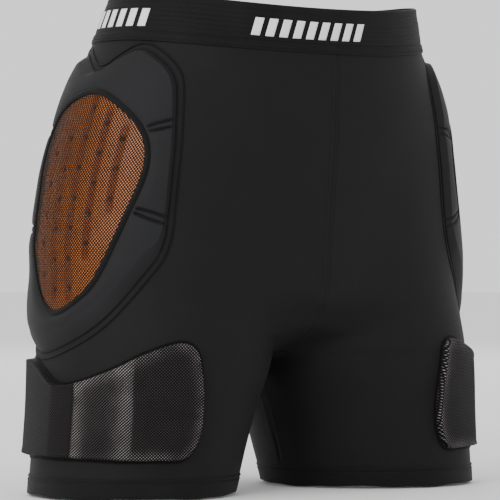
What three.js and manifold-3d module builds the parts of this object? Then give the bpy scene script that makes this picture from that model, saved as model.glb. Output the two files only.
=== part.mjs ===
// Padded impact shorts, as worn: an elastic waistband, stretch panels, two hip pads with a mesh window
// over a ribbed core, a tail pad, and a three-part pad on the front and side of each thigh.
//
// Millimetres, +Z up, the wearer's front towards -Y and left towards +X. The origin is the centre of the
// waist opening, level with its top edge at the sides.
//
// The left half is worked out and the right half is its mirror image. A smooth form of the body gives, at
// each height, a ring that runs from the front end, round the outside of the hip, to the back end. Every
// piece is cut as a flat pattern, whose columns run round that ring and whose rows are heights, and is
// then wrapped on the form at its own distance from the skin, so that layers lie on each other.

import * as THREE from 'three';
import { mergeVertices } from 'three/addons/utils/BufferGeometryUtils.js';
import Module from 'manifold-3d';

const wasm = await Module();
wasm.setup();

// ---- driving dimensions -----------------------------------------------------------------------------

const WAIST_WIDTH = 280;
const WAIST_DEPTH = 206;
const FRONT_DIP = 12;           // the waist's top edge is this much lower at the centre front
const HIP_WIDTH = 386;
const HIP_FRONT = 93;           // from the waist's centre plane forwards, at the hips
const HIP_BACK = 132;           // and backwards
const THIGH_LONG = 214;         // leg opening just under the crotch, along and across its turned axis
const THIGH_SHORT = 200;
const HEM_LONG = 186;
const HEM_SHORT = 174;
const HEM_STANCE = 258;         // between the leg centres at the hems
const LEG_TURN = 45;            // degrees, how the leg's oval is turned

const BAND_HEIGHT = 40;
const BAND_THICK = 2.4;
const HEM_HEIGHT = 18;
const HEM_THICK = 2.4;
const FABRIC = 1.2;             // body panels
const FOAM = 5;
const COVER = 1;                // pad covers
const BINDING_WIDTH = 4;
const LAYER_GAP = 0.4;          // between layers that lie on each other
const SEAM_GAP = 0.4;           // between panels that are sewn edge to edge

// The window in the hip pad, and how much pad there is round it.
const WINDOW_HEIGHT = 183;
const WINDOW_FRONT = 81;        // from the side line forwards
const WINDOW_BACK = 35;         // and backwards
const PAD_OVER_WINDOW = 38;
const PAD_UNDER_WINDOW = 33;
const PAD_BEFORE_WINDOW = 24;
const PAD_BEHIND_WINDOW = 53;
const HIP_PAD_BELOW_BAND = 8;
const CROTCH_BELOW_HIP_PAD = 1;
const GROOVE_WIDTH = 6;

const THIGH_PAD_LAP = 11;       // its front corner stands this much above the foot of the hip pad
const THIGH_PAD_HEIGHT = 102;
const THIGH_PAD_ABOVE_HEM = 13;
const THIGH_PAD_BACK = 70;      // from the side line backwards
const THIGH_BACK_BLOCK = 106;   // widths of its three blocks
const THIGH_MIDDLE_BLOCK = 50;
const THIGH_FRONT_BLOCK = 60;

const TAIL_PAD_WIDTH = 128;
const TAIL_PAD_HEIGHT = 150;
const TAIL_PAD_BELOW_BAND = 30;

const PAD_WALL = 2;             // width of the cover's side wall
const FOAM_CLEARANCE = 1;       // between that wall and the foam in it
const FLEX_GAP = 0.5;           // between a body panel and the stretch panel at the hip crease

// ---- what follows from them -------------------------------------------------------------------------

// Depths below the waist, down the side, and distances forwards from the side line.
const HIP_PAD_TOP = BAND_HEIGHT + HIP_PAD_BELOW_BAND;
const HIP_PAD_FOOT = HIP_PAD_TOP + PAD_OVER_WINDOW + WINDOW_HEIGHT + PAD_UNDER_WINDOW;
const RISE = HIP_PAD_FOOT + CROTCH_BELOW_HIP_PAD;
const HIP_PAD_FRONT = WINDOW_FRONT + PAD_BEFORE_WINDOW;
const HIP_PAD_BACK = WINDOW_BACK + PAD_BEHIND_WINDOW;
const THIGH_PAD_TOP = HIP_PAD_FOOT - THIGH_PAD_LAP;
const THIGH_PAD_FOOT = THIGH_PAD_TOP + THIGH_PAD_HEIGHT;
const THIGH_BACK_CREASE = THIGH_PAD_BACK - THIGH_BACK_BLOCK;
const THIGH_FRONT_CREASE = THIGH_BACK_CREASE - THIGH_MIDDLE_BLOCK;
const THIGH_PAD_FRONT = THIGH_FRONT_BLOCK - THIGH_FRONT_CREASE;
const HEM_TOP = THIGH_PAD_FOOT + THIGH_PAD_ABOVE_HEM;
const LENGTH = HEM_TOP + HEM_HEIGHT;

// ---- the form of the body ---------------------------------------------------------------------------

// Sections of the trunk by depth below the waist: half width, front and back.
const TRUNK = [
  { down: 0, half: WAIST_WIDTH / 2, front: -WAIST_DEPTH / 2, back: WAIST_DEPTH / 2 },
  { down: 0.13 * RISE, half: WAIST_WIDTH / 2 + 14, front: -WAIST_DEPTH / 2 + 3, back: WAIST_DEPTH / 2 + 11 },
  { down: 0.33 * RISE, half: HIP_WIDTH / 2 - 12, front: -HIP_FRONT - 5, back: HIP_BACK - 8 },
  { down: 0.53 * RISE, half: HIP_WIDTH / 2, front: -HIP_FRONT, back: HIP_BACK },
  { down: 0.69 * RISE, half: HIP_WIDTH / 2 - 1, front: -HIP_FRONT + 5, back: HIP_BACK - 1 },
  { down: 0.825 * RISE, half: HIP_WIDTH / 2 - 28, front: -HIP_FRONT + 9, back: HIP_BACK - 20 },
  { down: 0.94 * RISE, half: HIP_WIDTH / 2 - 85, front: -HIP_FRONT + 33, back: HIP_BACK - 52 },
  { down: 0.99 * RISE, half: 60, front: -14, back: 52 },
  { down: 1.01 * RISE, half: 24, front: 10, back: 30 },
];

// Sections of the left leg: distance from the centre plane, centre front to back, and the oval's size.
const THIGH_REACH = Math.sqrt((THIGH_LONG ** 2 + THIGH_SHORT ** 2) / 8);
const LEG = [
  { down: 0, out: 90, y: 10, long: 40, short: 40 },
  { down: 0.4 * RISE, out: 92, y: 18, long: THIGH_LONG / 2 - 25, short: THIGH_SHORT / 2 - 22 },
  { down: 0.66 * RISE, out: 97, y: 24, long: THIGH_LONG / 2 - 9, short: THIGH_SHORT / 2 - 5 },
  { down: 0.825 * RISE, out: 100, y: 24, long: THIGH_LONG / 2 - 3, short: THIGH_SHORT / 2 },
  { down: RISE, out: THIGH_REACH + 0.5, y: 20, long: THIGH_LONG / 2, short: THIGH_SHORT / 2 },
  { down: 0.45 * LENGTH + 0.55 * RISE, out: HEM_STANCE / 2 - 13, y: 19,
    long: HEM_LONG / 2 + 7, short: HEM_SHORT / 2 + 6 },
  { down: LENGTH, out: HEM_STANCE / 2, y: 19, long: HEM_LONG / 2, short: HEM_SHORT / 2 },
];

const TRUNK_ROUNDING = 2.15;    // exponent of the trunk's section; 2 is an ellipse
const HIP_BLEND = 26;           // how softly the legs run into the trunk
const CROTCH_BLEND = 14;
const DIP_DEPTH = 200;          // the front dip fades out over this much of the height
const FAR_OUT = 400;

const smooth = (t) => THREE.MathUtils.smoothstep(t, 0, 1);

// A smooth curve through one measure of a list of sections.
function measure(sections, key, down) {
  const last = sections.length - 1;
  const d = THREE.MathUtils.clamp(down, 0, sections[last].down);
  const slope = (i) => (sections[i + 1][key] - sections[i][key]) / (sections[i + 1].down - sections[i].down);
  const tangent = (i) => {
    if (i === 0) return slope(0);
    if (i === last) return slope(last - 1);
    const before = slope(i - 1);
    const after = slope(i);
    return before * after > 0 ? 2 * before * after / (before + after) : 0;
  };
  let i = 0;
  while (i < last - 1 && sections[i + 1].down < d) i += 1;
  const step = sections[i + 1].down - sections[i].down;
  const t = (d - sections[i].down) / step;
  const r = 1 - t;
  return (1 + 2 * t) * r * r * sections[i][key] + t * r * r * step * tangent(i)
    + t * t * (3 - 2 * t) * sections[i + 1][key] - t * t * r * step * tangent(i + 1);
}

function oval(x, y, halfX, halfY, power = 2) {
  const reach = (Math.abs(x / halfX) ** power + Math.abs(y / halfY) ** power) ** (1 / power);
  return (reach - 1) * Math.min(halfX, halfY);
}

function blend(a, b, width) {
  const h = THREE.MathUtils.clamp(0.5 + 0.5 * (b - a) / width, 0, 1);
  return b + (a - b) * h - width * h * (1 - h);
}

function leftLeg(x, y, down) {
  const dx = x - measure(LEG, 'out', down);
  const dy = y - measure(LEG, 'y', down);
  const turn = THREE.MathUtils.degToRad(LEG_TURN);
  const along = dx * Math.cos(turn) - dy * Math.sin(turn);
  const across = dy * Math.cos(turn) + dx * Math.sin(turn);
  return oval(along, across, measure(LEG, 'long', down), measure(LEG, 'short', down));
}

// Negative inside the body, positive outside it.
function body(x, y, down) {
  if (down > RISE) return leftLeg(x, y, down);
  const front = measure(TRUNK, 'front', down);
  const back = measure(TRUNK, 'back', down);
  const trunk = oval(x, y - (front + back) / 2, measure(TRUNK, 'half', down), (back - front) / 2,
    TRUNK_ROUNDING);
  const legs = blend(leftLeg(x, y, down), leftLeg(-x, y, down), CROTCH_BLEND);
  return blend(trunk, legs, HIP_BLEND);
}

// How far it is from a point inside to the surface, or to the centre plane where that comes first.
function reach(x, y, dx, dy, down) {
  let low = 0;
  let high = dx < -1e-6 && down <= RISE ? -x / dx : FAR_OUT;
  if (body(x + dx * high, y + dy * high, down) < 0) return high;
  for (let i = 0; i < 32; i += 1) {
    const middle = (low + high) / 2;
    if (body(x + dx * middle, y + dy * middle, down) < 0) low = middle;
    else high = middle;
  }
  return low;
}

// The ring at one height as steps + 1 points, from the front end round the outside to the back end.
function ring(down, steps) {
  const x = measure(LEG, 'out', down);
  const y = measure(LEG, 'y', down);
  const joined = down <= RISE;
  const start = joined ? Math.atan2(-reach(0, y, 0, -1, down), -x) : -Math.PI;
  const end = joined ? Math.atan2(reach(0, y, 0, 1, down), -x) : Math.PI;
  const points = [];
  for (let i = 0; i <= steps; i += 1) {
    const angle = THREE.MathUtils.lerp(start, end, i / steps);
    const dx = Math.cos(angle);
    const dy = Math.sin(angle);
    const far = reach(x, y, dx, dy, down);
    points.push(new THREE.Vector2(x + dx * far, y + dy * far));
  }
  return { points, side: -start / (end - start) };
}

// ---- the pattern ------------------------------------------------------------------------------------

const COLUMNS = 14;
const CELL = 41;                // nominal width of a pattern column
const PATTERN_WIDTH = COLUMNS * CELL;
const ROW = 34;
const FINE = 8;                 // ring points for each column where lengths are measured

function rowDepths() {
  const above = Math.round((RISE - ROW) / ROW);
  const below = Math.round((LENGTH - RISE - ROW) / ROW);
  const rows = [];
  for (let i = 0; i <= above; i += 1) rows.push((RISE - ROW) * i / above);
  rows.push(RISE - 10, RISE - 2, RISE, RISE + 4);
  for (let i = 0; i <= below; i += 1) rows.push(RISE + ROW + (LENGTH - RISE - ROW) * i / below);
  return rows;
}

const ROWS = rowDepths();
const RINGS = ROWS.map((down) => ring(down, COLUMNS).points);

function gridPoint(row, column) {
  const p = RINGS[row][column];
  const down = ROWS[row];
  const forward = THREE.MathUtils.clamp(-p.y / (WAIST_DEPTH / 2), 0, 1);
  const dip = FRONT_DIP * forward * forward * (1 - smooth(Math.min(down / DIP_DEPTH, 1)));
  return new THREE.Vector3(p.x, p.y, -down - dip);
}

const GRID = ROWS.map((_, row) => RINGS[row].map((__, column) => gridPoint(row, column)));

// The way that thickness grows at a grid point: square to the form, but level at the waist and the hem,
// and within the centre plane at the centre front and back.
function gridNormal(row, column) {
  const closed = ROWS[row] > RISE;
  const wrap = (c) => (closed ? (c + COLUMNS) % COLUMNS : THREE.MathUtils.clamp(c, 0, COLUMNS));
  const up = GRID[Math.max(row - 1, 0)][column];
  const low = GRID[Math.min(row + 1, ROWS.length - 1)][column];
  const ahead = GRID[row][wrap(column - 1)];
  const behind = GRID[row][wrap(column + 1)];
  const normal = new THREE.Vector3().subVectors(behind, ahead).cross(new THREE.Vector3().subVectors(up, low));
  normal.normalize();
  if (row === 0 || row === ROWS.length - 1) normal.z = 0;
  if (!closed && (column === 0 || column === COLUMNS)) normal.x = 0;
  return normal.normalize();
}

const NORMALS = GRID.map((line, row) => line.map((_, column) => gridNormal(row, column)));

// From a flat pattern point and a height above the skin to its place on the body. Each grid cell is two
// flat triangles, so that every layer is faceted alike and layers never cross.
function wrapPoint(u, v, height) {
  const column = THREE.MathUtils.clamp(Math.floor(u / CELL), 0, COLUMNS - 1);
  const down = -v;
  let row = 0;
  while (row < ROWS.length - 2 && ROWS[row + 1] <= down) row += 1;
  const s = u / CELL - column;
  const t = (down - ROWS[row]) / (ROWS[row + 1] - ROWS[row]);
  const corners = s + t < 1
    ? [[row, column, 1 - s - t], [row, column + 1, s], [row + 1, column, t]]
    : [[row + 1, column + 1, s + t - 1], [row, column + 1, 1 - t], [row + 1, column, 1 - s]];
  const place = new THREE.Vector3();
  for (const [r, c, share] of corners) {
    place.addScaledVector(GRID[r][c], share);
    place.addScaledVector(NORMALS[r][c], share * height);
  }
  return place;
}

// Where a point lies on the pattern, from its distance round the body from the side line, forwards being
// negative, and its depth below the waist.
function onPattern(around, down) {
  const { points, side } = ring(down, COLUMNS * FINE);
  const lengths = [0];
  for (let i = 1; i < points.length; i += 1) {
    lengths.push(lengths[i - 1] + points[i].distanceTo(points[i - 1]));
  }
  const at = (position) => {
    const i = Math.min(Math.floor(position), points.length - 2);
    return THREE.MathUtils.lerp(lengths[i], lengths[i + 1], position - i);
  };
  const total = lengths[lengths.length - 1];
  const wanted = THREE.MathUtils.clamp(at(side * COLUMNS * FINE) + around, 0, total);
  let i = 0;
  while (i < points.length - 2 && lengths[i + 1] < wanted) i += 1;
  const part = (wanted - lengths[i]) / (lengths[i + 1] - lengths[i]);
  return new THREE.Vector2((i + part) / FINE * CELL, -down);
}

// The same, from the distance to the centre back.
function fromCentreBack(toCentre, down) {
  const { points } = ring(down, COLUMNS * FINE);
  let left = toCentre;
  let i = points.length - 1;
  while (i > 1 && points[i].distanceTo(points[i - 1]) < left) {
    left -= points[i].distanceTo(points[i - 1]);
    i -= 1;
  }
  const part = left / points[i].distanceTo(points[i - 1]);
  return new THREE.Vector2((i - part) / FINE * CELL, -down);
}

// ---- cutting and wrapping ---------------------------------------------------------------------------

// A solid from a closed mesh. Each triangle keeps a number of its own, so that no cut merges flat
// neighbours and every grid line stays in the mesh.
function toManifold(geometry) {
  const clean = new THREE.BufferGeometry();
  clean.setAttribute('position', geometry.getAttribute('position'));
  clean.setIndex(geometry.getIndex());
  const merged = mergeVertices(clean, 1e-4);
  const triangles = merged.getIndex().count / 3;
  return new wasm.Manifold(new wasm.Mesh({
    numProp: 3,
    vertProperties: new Float32Array(merged.getAttribute('position').array),
    triVerts: new Uint32Array(merged.getIndex().array),
    faceID: Uint32Array.from({ length: triangles }, (_, i) => i),
  }));
}

function toGeometry(solid) {
  const mesh = solid.getMesh();
  const geometry = new THREE.BufferGeometry();
  geometry.setAttribute('position', new THREE.BufferAttribute(Float32Array.from(mesh.vertProperties), 3));
  geometry.setIndex(new THREE.BufferAttribute(Uint32Array.from(mesh.triVerts), 1));
  return geometry;
}

// The whole left half as a flat sheet between two heights above the skin.
function sheet(low, high) {
  const positions = [];
  const index = [];
  const line = COLUMNS + 1;
  const layer = line * ROWS.length;
  for (const height of [low, high]) {
    for (const down of ROWS) {
      for (let column = 0; column <= COLUMNS; column += 1) positions.push(column * CELL, -down, height);
    }
  }
  const face = (a, b, c, top) => {
    if (top) index.push(a + layer, c + layer, b + layer);
    else index.push(a, b, c);
  };
  for (const top of [false, true]) {
    for (let row = 0; row < ROWS.length - 1; row += 1) {
      for (let column = 0; column < COLUMNS; column += 1) {
        const a = row * line + column;
        face(a, a + 1, a + line, top);
        face(a + 1, a + line + 1, a + line, top);
      }
    }
  }
  const wall = (a, b) => index.push(a, b + layer, b, a, a + layer, b + layer);
  const bottom = line * (ROWS.length - 1);
  for (let column = 0; column < COLUMNS; column += 1) {
    wall(column, column + 1);
    wall(bottom + column + 1, bottom + column);
  }
  for (let row = 0; row < ROWS.length - 1; row += 1) {
    wall((row + 1) * line, row * line);
    wall(row * line + COLUMNS, (row + 1) * line + COLUMNS);
  }
  const geometry = new THREE.BufferGeometry();
  geometry.setAttribute('position', new THREE.Float32BufferAttribute(positions, 3));
  geometry.setIndex(index);
  return toManifold(geometry);
}

const CUTTER_LOW = -5;
const CUTTER_DEPTH = 25;

// A straight cutter with the outline of some pattern points.
function cutter(points) {
  const shape = new THREE.Shape(points);
  const geometry = new THREE.ExtrudeGeometry(shape, { depth: CUTTER_DEPTH, bevelEnabled: false });
  geometry.translate(0, 0, CUTTER_LOW);
  return toManifold(geometry);
}

function wrapped(flat) {
  return flat.warp((vertex) => {
    const place = wrapPoint(vertex[0], vertex[1], vertex[2]);
    vertex[0] = place.x;
    vertex[1] = place.y;
    vertex[2] = place.z;
  });
}

// The right half from the left.
const mirrored = (solid) => solid.mirror([1, 0, 0]);

// ---- outlines ---------------------------------------------------------------------------------------

const OUTLINE_STEP = 21;

// A closed smooth outline through [around, down] points, as an even loop of points.
function smoothLoop(stations, step = OUTLINE_STEP) {
  const curve = new THREE.CatmullRomCurve3(stations.map(([a, d]) => new THREE.Vector3(a, d, 0)), true,
    'centripetal');
  const count = Math.round(curve.getLength() / step);
  return curve.getSpacedPoints(count).slice(0, count).map((p) => new THREE.Vector2(p.x, p.y));
}

// The loop moved outwards by a distance, or inwards where it is negative.
function grown(loop, distance) {
  const outward = THREE.ShapeUtils.isClockWise(loop) ? -1 : 1;
  return loop.map((point, i) => {
    const before = loop[(i + loop.length - 1) % loop.length];
    const after = loop[(i + 1) % loop.length];
    const along = after.clone().sub(before).normalize();
    return new THREE.Vector2(point.x + along.y * distance * outward, point.y - along.x * distance * outward);
  });
}

const patternLoop = (loop) => loop.map((p) => onPattern(p.x, p.y));
const tailLoop = (loop) => loop.map((p) => fromCentreBack(p.x, p.y));

const SHOULDER = 42;            // the hip pad's rounded front top corner
const DIP_AT = -12;             // the saddle between the front and back lobes of its top edge
const DIP_DROP = 18;

const HIP_PAD = smoothLoop([
  [DIP_AT, HIP_PAD_TOP + DIP_DROP], [-28, HIP_PAD_TOP + 8], [-44, HIP_PAD_TOP],
  [-HIP_PAD_FRONT + SHOULDER, HIP_PAD_TOP + 7], [-HIP_PAD_FRONT + 22, HIP_PAD_TOP + 24],
  [-HIP_PAD_FRONT + 8, HIP_PAD_TOP + 66], [-HIP_PAD_FRONT, HIP_PAD_FOOT - 126],
  [-HIP_PAD_FRONT + 2, HIP_PAD_FOOT - 88], [-HIP_PAD_FRONT + 20, HIP_PAD_FOOT - 62],
  [-54, HIP_PAD_FOOT - 27], [-19, HIP_PAD_FOOT - 8], [20, HIP_PAD_FOOT],
  [HIP_PAD_BACK - 26, HIP_PAD_FOOT - 12], [HIP_PAD_BACK - 3, HIP_PAD_FOOT - 52],
  [HIP_PAD_BACK, HIP_PAD_FOOT - 124], [HIP_PAD_BACK - 8, HIP_PAD_TOP + 50],
  [HIP_PAD_BACK - 30, HIP_PAD_TOP + 10], [30, HIP_PAD_TOP - 2], [6, HIP_PAD_TOP + 8],
]);

const WINDOW_HIGH = HIP_PAD_TOP + PAD_OVER_WINDOW;
const WINDOW_LOW = WINDOW_HIGH + WINDOW_HEIGHT;

const WINDOW = smoothLoop([
  [-20, WINDOW_HIGH], [-WINDOW_FRONT + 30, WINDOW_HIGH + 13], [-WINDOW_FRONT + 8, WINDOW_HIGH + 34],
  [-WINDOW_FRONT, WINDOW_HIGH + 60], [-WINDOW_FRONT + 9, WINDOW_LOW - 81],
  [-WINDOW_FRONT + 24, WINDOW_LOW - 43], [-38, WINDOW_LOW - 15], [-8, WINDOW_LOW],
  [WINDOW_BACK - 18, WINDOW_LOW - 16], [WINDOW_BACK - 6, WINDOW_LOW - 50],
  [WINDOW_BACK - 3, WINDOW_LOW - 103], [WINDOW_BACK, WINDOW_HIGH + 42],
  [WINDOW_BACK - 15, WINDOW_HIGH + 14],
]);

const THIGH_PAD = smoothLoop([
  [-THIGH_PAD_FRONT + 22, THIGH_PAD_TOP], [-THIGH_PAD_FRONT + 9, THIGH_PAD_TOP + 6],
  [-THIGH_PAD_FRONT + 2, THIGH_PAD_TOP + 28], [-THIGH_PAD_FRONT, THIGH_PAD_TOP + 58],
  [-THIGH_PAD_FRONT + 3, THIGH_PAD_FOOT - 18], [-THIGH_PAD_FRONT + 14, THIGH_PAD_FOOT - 2],
  [THIGH_FRONT_CREASE - 21, THIGH_PAD_FOOT], [THIGH_FRONT_CREASE + 1, THIGH_PAD_FOOT],
  [THIGH_BACK_CREASE - 1, THIGH_PAD_FOOT - 1], [12, THIGH_PAD_FOOT - 1],
  [THIGH_PAD_BACK - 12, THIGH_PAD_FOOT - 2], [THIGH_PAD_BACK - 2, THIGH_PAD_FOOT - 12],
  [THIGH_PAD_BACK, THIGH_PAD_FOOT - 45], [THIGH_PAD_BACK - 5, THIGH_PAD_TOP + 24],
  [41, THIGH_PAD_TOP + 19], [14, THIGH_PAD_TOP + 24], [-13, THIGH_PAD_TOP + 35],
  [-34, THIGH_PAD_TOP + 33], [-68, THIGH_PAD_TOP + 21], [-95, THIGH_PAD_TOP + 8],
]);

const TAIL_PAD_TOP = BAND_HEIGHT + TAIL_PAD_BELOW_BAND;
const TAIL_PAD_FOOT = TAIL_PAD_TOP + TAIL_PAD_HEIGHT;

// Half of the tail pad's outline, by distance from the centre back. It runs past the centre line, where
// the sheet ends.
const TAIL_PAD = smoothLoop([
  [-20, TAIL_PAD_TOP], [0, TAIL_PAD_TOP], [TAIL_PAD_WIDTH / 4, TAIL_PAD_TOP + 3],
  [TAIL_PAD_WIDTH / 2 - 6, TAIL_PAD_TOP + 18], [TAIL_PAD_WIDTH / 2, TAIL_PAD_TOP + 45],
  [TAIL_PAD_WIDTH / 2 - 8, TAIL_PAD_TOP + 85], [TAIL_PAD_WIDTH / 2 - 28, TAIL_PAD_FOOT - 22],
  [14, TAIL_PAD_FOOT - 3], [0, TAIL_PAD_FOOT], [-20, TAIL_PAD_FOOT],
]);

// ---- layers -----------------------------------------------------------------------------------------

const FOAM_LOW = FABRIC + LAYER_GAP;
const FOAM_HIGH = FOAM_LOW + FOAM;
const COVER_LOW = FOAM_HIGH + LAYER_GAP;
const COVER_HIGH = COVER_LOW + COVER;
const BINDING_LOW = COVER_HIGH + LAYER_GAP;
const BINDING_HIGH = BINDING_LOW + COVER;

const root = new THREE.Group();

function add(name, solid, colour, roughness) {
  const material = new THREE.MeshStandardMaterial({ color: colour, roughness, metalness: 0 });
  const mesh = new THREE.Mesh(toGeometry(solid), material);
  mesh.name = name;
  root.add(mesh);
}

function addBoth(name, solid, colour, roughness) {
  add(`left_${name}`, solid, colour, roughness);
  add(`right_${name}`, mirrored(solid), colour, roughness);
}

// A piece that crosses the centre plane: the left half and its mirror image in one.
function addCentred(name, solid, colour, roughness) {
  add(name, solid.add(mirrored(solid)), colour, roughness);
}

const SHELL_CLOTH = 0x1f1f21;
const PAD_CLOTH = 0x2c2c2e;
const BAND_CLOTH = 0x1b1b1c;
const STRETCH_CLOTH = 0x232325;
const FOAM_GREY = 0x4a4a4c;
const CORE_ORANGE = 0xc9602a;
const MESH_BLACK = 0x141414;

const base = sheet(0, FABRIC);

// ---- waistband and hems -----------------------------------------------------------------------------

const OVER = 5;                 // a cut that follows the pattern's own edge runs past it by this much
const SEAM_END = 0.6;           // a piece that ends at the inseam or the centre seam stops this far short

// A rectangle of the pattern. Its sides have a point at each row, so that the edges it cuts follow the form.
function area(from, to, top, foot) {
  const depths = [top, ...ROWS.filter((down) => down > top && down < foot), foot];
  const side = (u, list) => list.map((down) => new THREE.Vector2(u, -down));
  return cutter([...side(from, depths), ...side(to, depths.toReversed())]);
}

const bandArea = area(-OVER, PATTERN_WIDTH + OVER, -OVER, BAND_HEIGHT);
const hemArea = area(SEAM_END, PATTERN_WIDTH - SEAM_END, HEM_TOP, LENGTH + OVER);

addCentred('waistband', wrapped(sheet(0, BAND_THICK).intersect(bandArea)), BAND_CLOTH, 0.75);
addBoth('hem_band', wrapped(sheet(0, HEM_THICK).intersect(hemArea)), BAND_CLOTH, 0.8);

// ---- body panels ------------------------------------------------------------------------------------

// Two lines round the hip, by depth below the waist: the hip panels end on the upper one and the leg
// panels start on the lower one. They leave room in front and behind for the leg's swing, and run close
// together at the side between the hip pad and the thigh pad.
const CREASE = [
  { u: 0, upper: RISE - 3, lower: RISE + 34 },
  { u: 0.1, upper: RISE - 22, lower: RISE + 26 },
  { u: 0.2, upper: RISE - 52, lower: RISE + 6 },
  { u: 0.3, upper: RISE - 62, lower: RISE - 14 },
  { u: 0.38, upper: HIP_PAD_FOOT - 39, lower: HIP_PAD_FOOT - 11 },
  { u: 0.44, upper: HIP_PAD_FOOT - 13, lower: HIP_PAD_FOOT + 7 },
  { u: 0.5, upper: HIP_PAD_FOOT - 1, lower: HIP_PAD_FOOT + 13 },
  { u: 0.57, upper: HIP_PAD_FOOT + 2, lower: HIP_PAD_FOOT + 7 },
  { u: 0.64, upper: HIP_PAD_FOOT - 17, lower: HIP_PAD_FOOT + 3 },
  { u: 0.75, upper: RISE - 34, lower: RISE + 8 },
  { u: 0.9, upper: RISE - 18, lower: RISE + 26 },
  { u: 1, upper: RISE - 3, lower: RISE + 34 },
];

const CREASE_STEPS = 20;

function creaseLine(key, shift) {
  const stations = CREASE.map((c) => new THREE.Vector3(c.u * PATTERN_WIDTH, c[key] + shift, 0));
  const curve = new THREE.CatmullRomCurve3(stations, false, 'centripetal');
  return curve.getSpacedPoints(CREASE_STEPS).map((p) => new THREE.Vector2(p.x, -p.y));
}

// The pattern area under one line and over another, each running from the front end to the back end.
function between(over, under) {
  const out = (line) => [new THREE.Vector2(-CELL, line[0].y), ...line,
    new THREE.Vector2(PATTERN_WIDTH + CELL, line[line.length - 1].y)];
  return cutter([...out(over), ...out(under).reverse()]);
}

const level = (down) => [new THREE.Vector2(0, -down), new THREE.Vector2(PATTERN_WIDTH, -down)];

const hipArea = between(level(BAND_HEIGHT + SEAM_GAP), creaseLine('upper', 0));
const flexArea = between(creaseLine('upper', FLEX_GAP), creaseLine('lower', -FLEX_GAP));
const legArea = between(creaseLine('lower', 0), level(HEM_TOP - SEAM_GAP));

const MIDDLE = PATTERN_WIDTH / 2;
const frontHalf = area(SEAM_END, MIDDLE - SEAM_END / 2, -OVER, LENGTH + OVER);
const backHalf = area(MIDDLE + SEAM_END / 2, PATTERN_WIDTH - SEAM_END, -OVER, LENGTH + OVER);

for (const [half, side] of [[frontHalf, 'front'], [backHalf, 'back']]) {
  addBoth(`${side}_panel`, wrapped(base.intersect(hipArea).intersect(half)), SHELL_CLOTH, 0.85);
  addBoth(`${side}_stretch_panel`, wrapped(base.intersect(flexArea).intersect(half)), STRETCH_CLOTH, 0.85);
  addBoth(`leg_${side}_panel`, wrapped(base.intersect(legArea).intersect(half)), SHELL_CLOTH, 0.85);
}

// ---- pads -------------------------------------------------------------------------------------------

// A pad cover: a thin top with a side wall down to the panel under it.
function coverOf(loop, place) {
  const outer = cutter(place(loop));
  const inner = cutter(place(grown(loop, -PAD_WALL)));
  const wall = sheet(FOAM_LOW, COVER_LOW).intersect(outer).subtract(inner);
  return sheet(COVER_LOW, COVER_HIGH).intersect(outer).add(wall);
}

const foamSheet = sheet(FOAM_LOW, FOAM_HIGH);
const FOAM_INSET = PAD_WALL + FOAM_CLEARANCE;

const band = (points) => cutter(points.map(([a, d]) => onPattern(a, d)));

// Hip pad. Its window shows the ribbed core, and two grooves let its front edge bend.
const windowHole = cutter(patternLoop(WINDOW));
const coreArea = cutter(patternLoop(grown(WINDOW, BINDING_WIDTH)));
const coreSocket = cutter(patternLoop(grown(WINDOW, BINDING_WIDTH + FOAM_CLEARANCE)));
const windowArea = cutter(patternLoop(grown(WINDOW, -LAYER_GAP)));
const bindingOuter = cutter(patternLoop(grown(WINDOW, BINDING_WIDTH / 2)));
const bindingInner = cutter(patternLoop(grown(WINDOW, -BINDING_WIDTH / 2)));

addBoth('hip_pad_cover', wrapped(coverOf(HIP_PAD, patternLoop).subtract(windowHole)), PAD_CLOTH, 0.8);
addBoth('hip_pad_core', wrapped(foamSheet.intersect(coreArea)), CORE_ORANGE, 0.5);
addBoth('hip_pad_window', wrapped(sheet(COVER_LOW, COVER_HIGH).intersect(windowArea)), MESH_BLACK, 0.7);
addBoth('hip_pad_window_binding',
  wrapped(sheet(BINDING_LOW, BINDING_HIGH).intersect(bindingOuter).subtract(bindingInner)), BAND_CLOTH, 0.7);

const foamArea = cutter(patternLoop(grown(HIP_PAD, -FOAM_INSET)));
const hipFoam = foamSheet.intersect(foamArea).subtract(coreSocket);
const GROOVES = [HIP_PAD_TOP + 64, HIP_PAD_TOP + 142];
const BACK_GROOVE = HIP_PAD_TOP + 96;
const FAR = 130;

// The foam's blocks: [name, front limit, back limit, upper limit, lower limit].
const FRONT_SPLIT = -20;
const HIP_BLOCKS = [
  ['foam_front_upper', -FAR, FRONT_SPLIT, 0, GROOVES[0]],
  ['foam_front_middle', -FAR, FRONT_SPLIT, GROOVES[0], GROOVES[1]],
  ['foam_front_lower', -FAR, FRONT_SPLIT, GROOVES[1], LENGTH],
  ['foam_back_upper', FRONT_SPLIT, FAR, 0, BACK_GROOVE],
  ['foam_back_lower', FRONT_SPLIT, FAR, BACK_GROOVE, LENGTH],
];

function block(front, back, upper, lower) {
  const gap = GROOVE_WIDTH / 2;
  const top = Math.max(upper + gap, 1);
  const foot = Math.min(lower - gap, LENGTH - 1);
  const points = [];
  for (const [a, list] of [[front + gap, [top, foot]], [back - gap, [foot, top]]]) {
    const steps = Math.ceil((foot - top) / ROW);
    for (let i = 0; i <= steps; i += 1) points.push([a, THREE.MathUtils.lerp(list[0], list[1], i / steps)]);
  }
  return band(points);
}

for (const [name, front, back, upper, lower] of HIP_BLOCKS) {
  addBoth(`hip_pad_${name}`, wrapped(hipFoam.intersect(block(front, back, upper, lower))), FOAM_GREY, 0.9);
}

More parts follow.
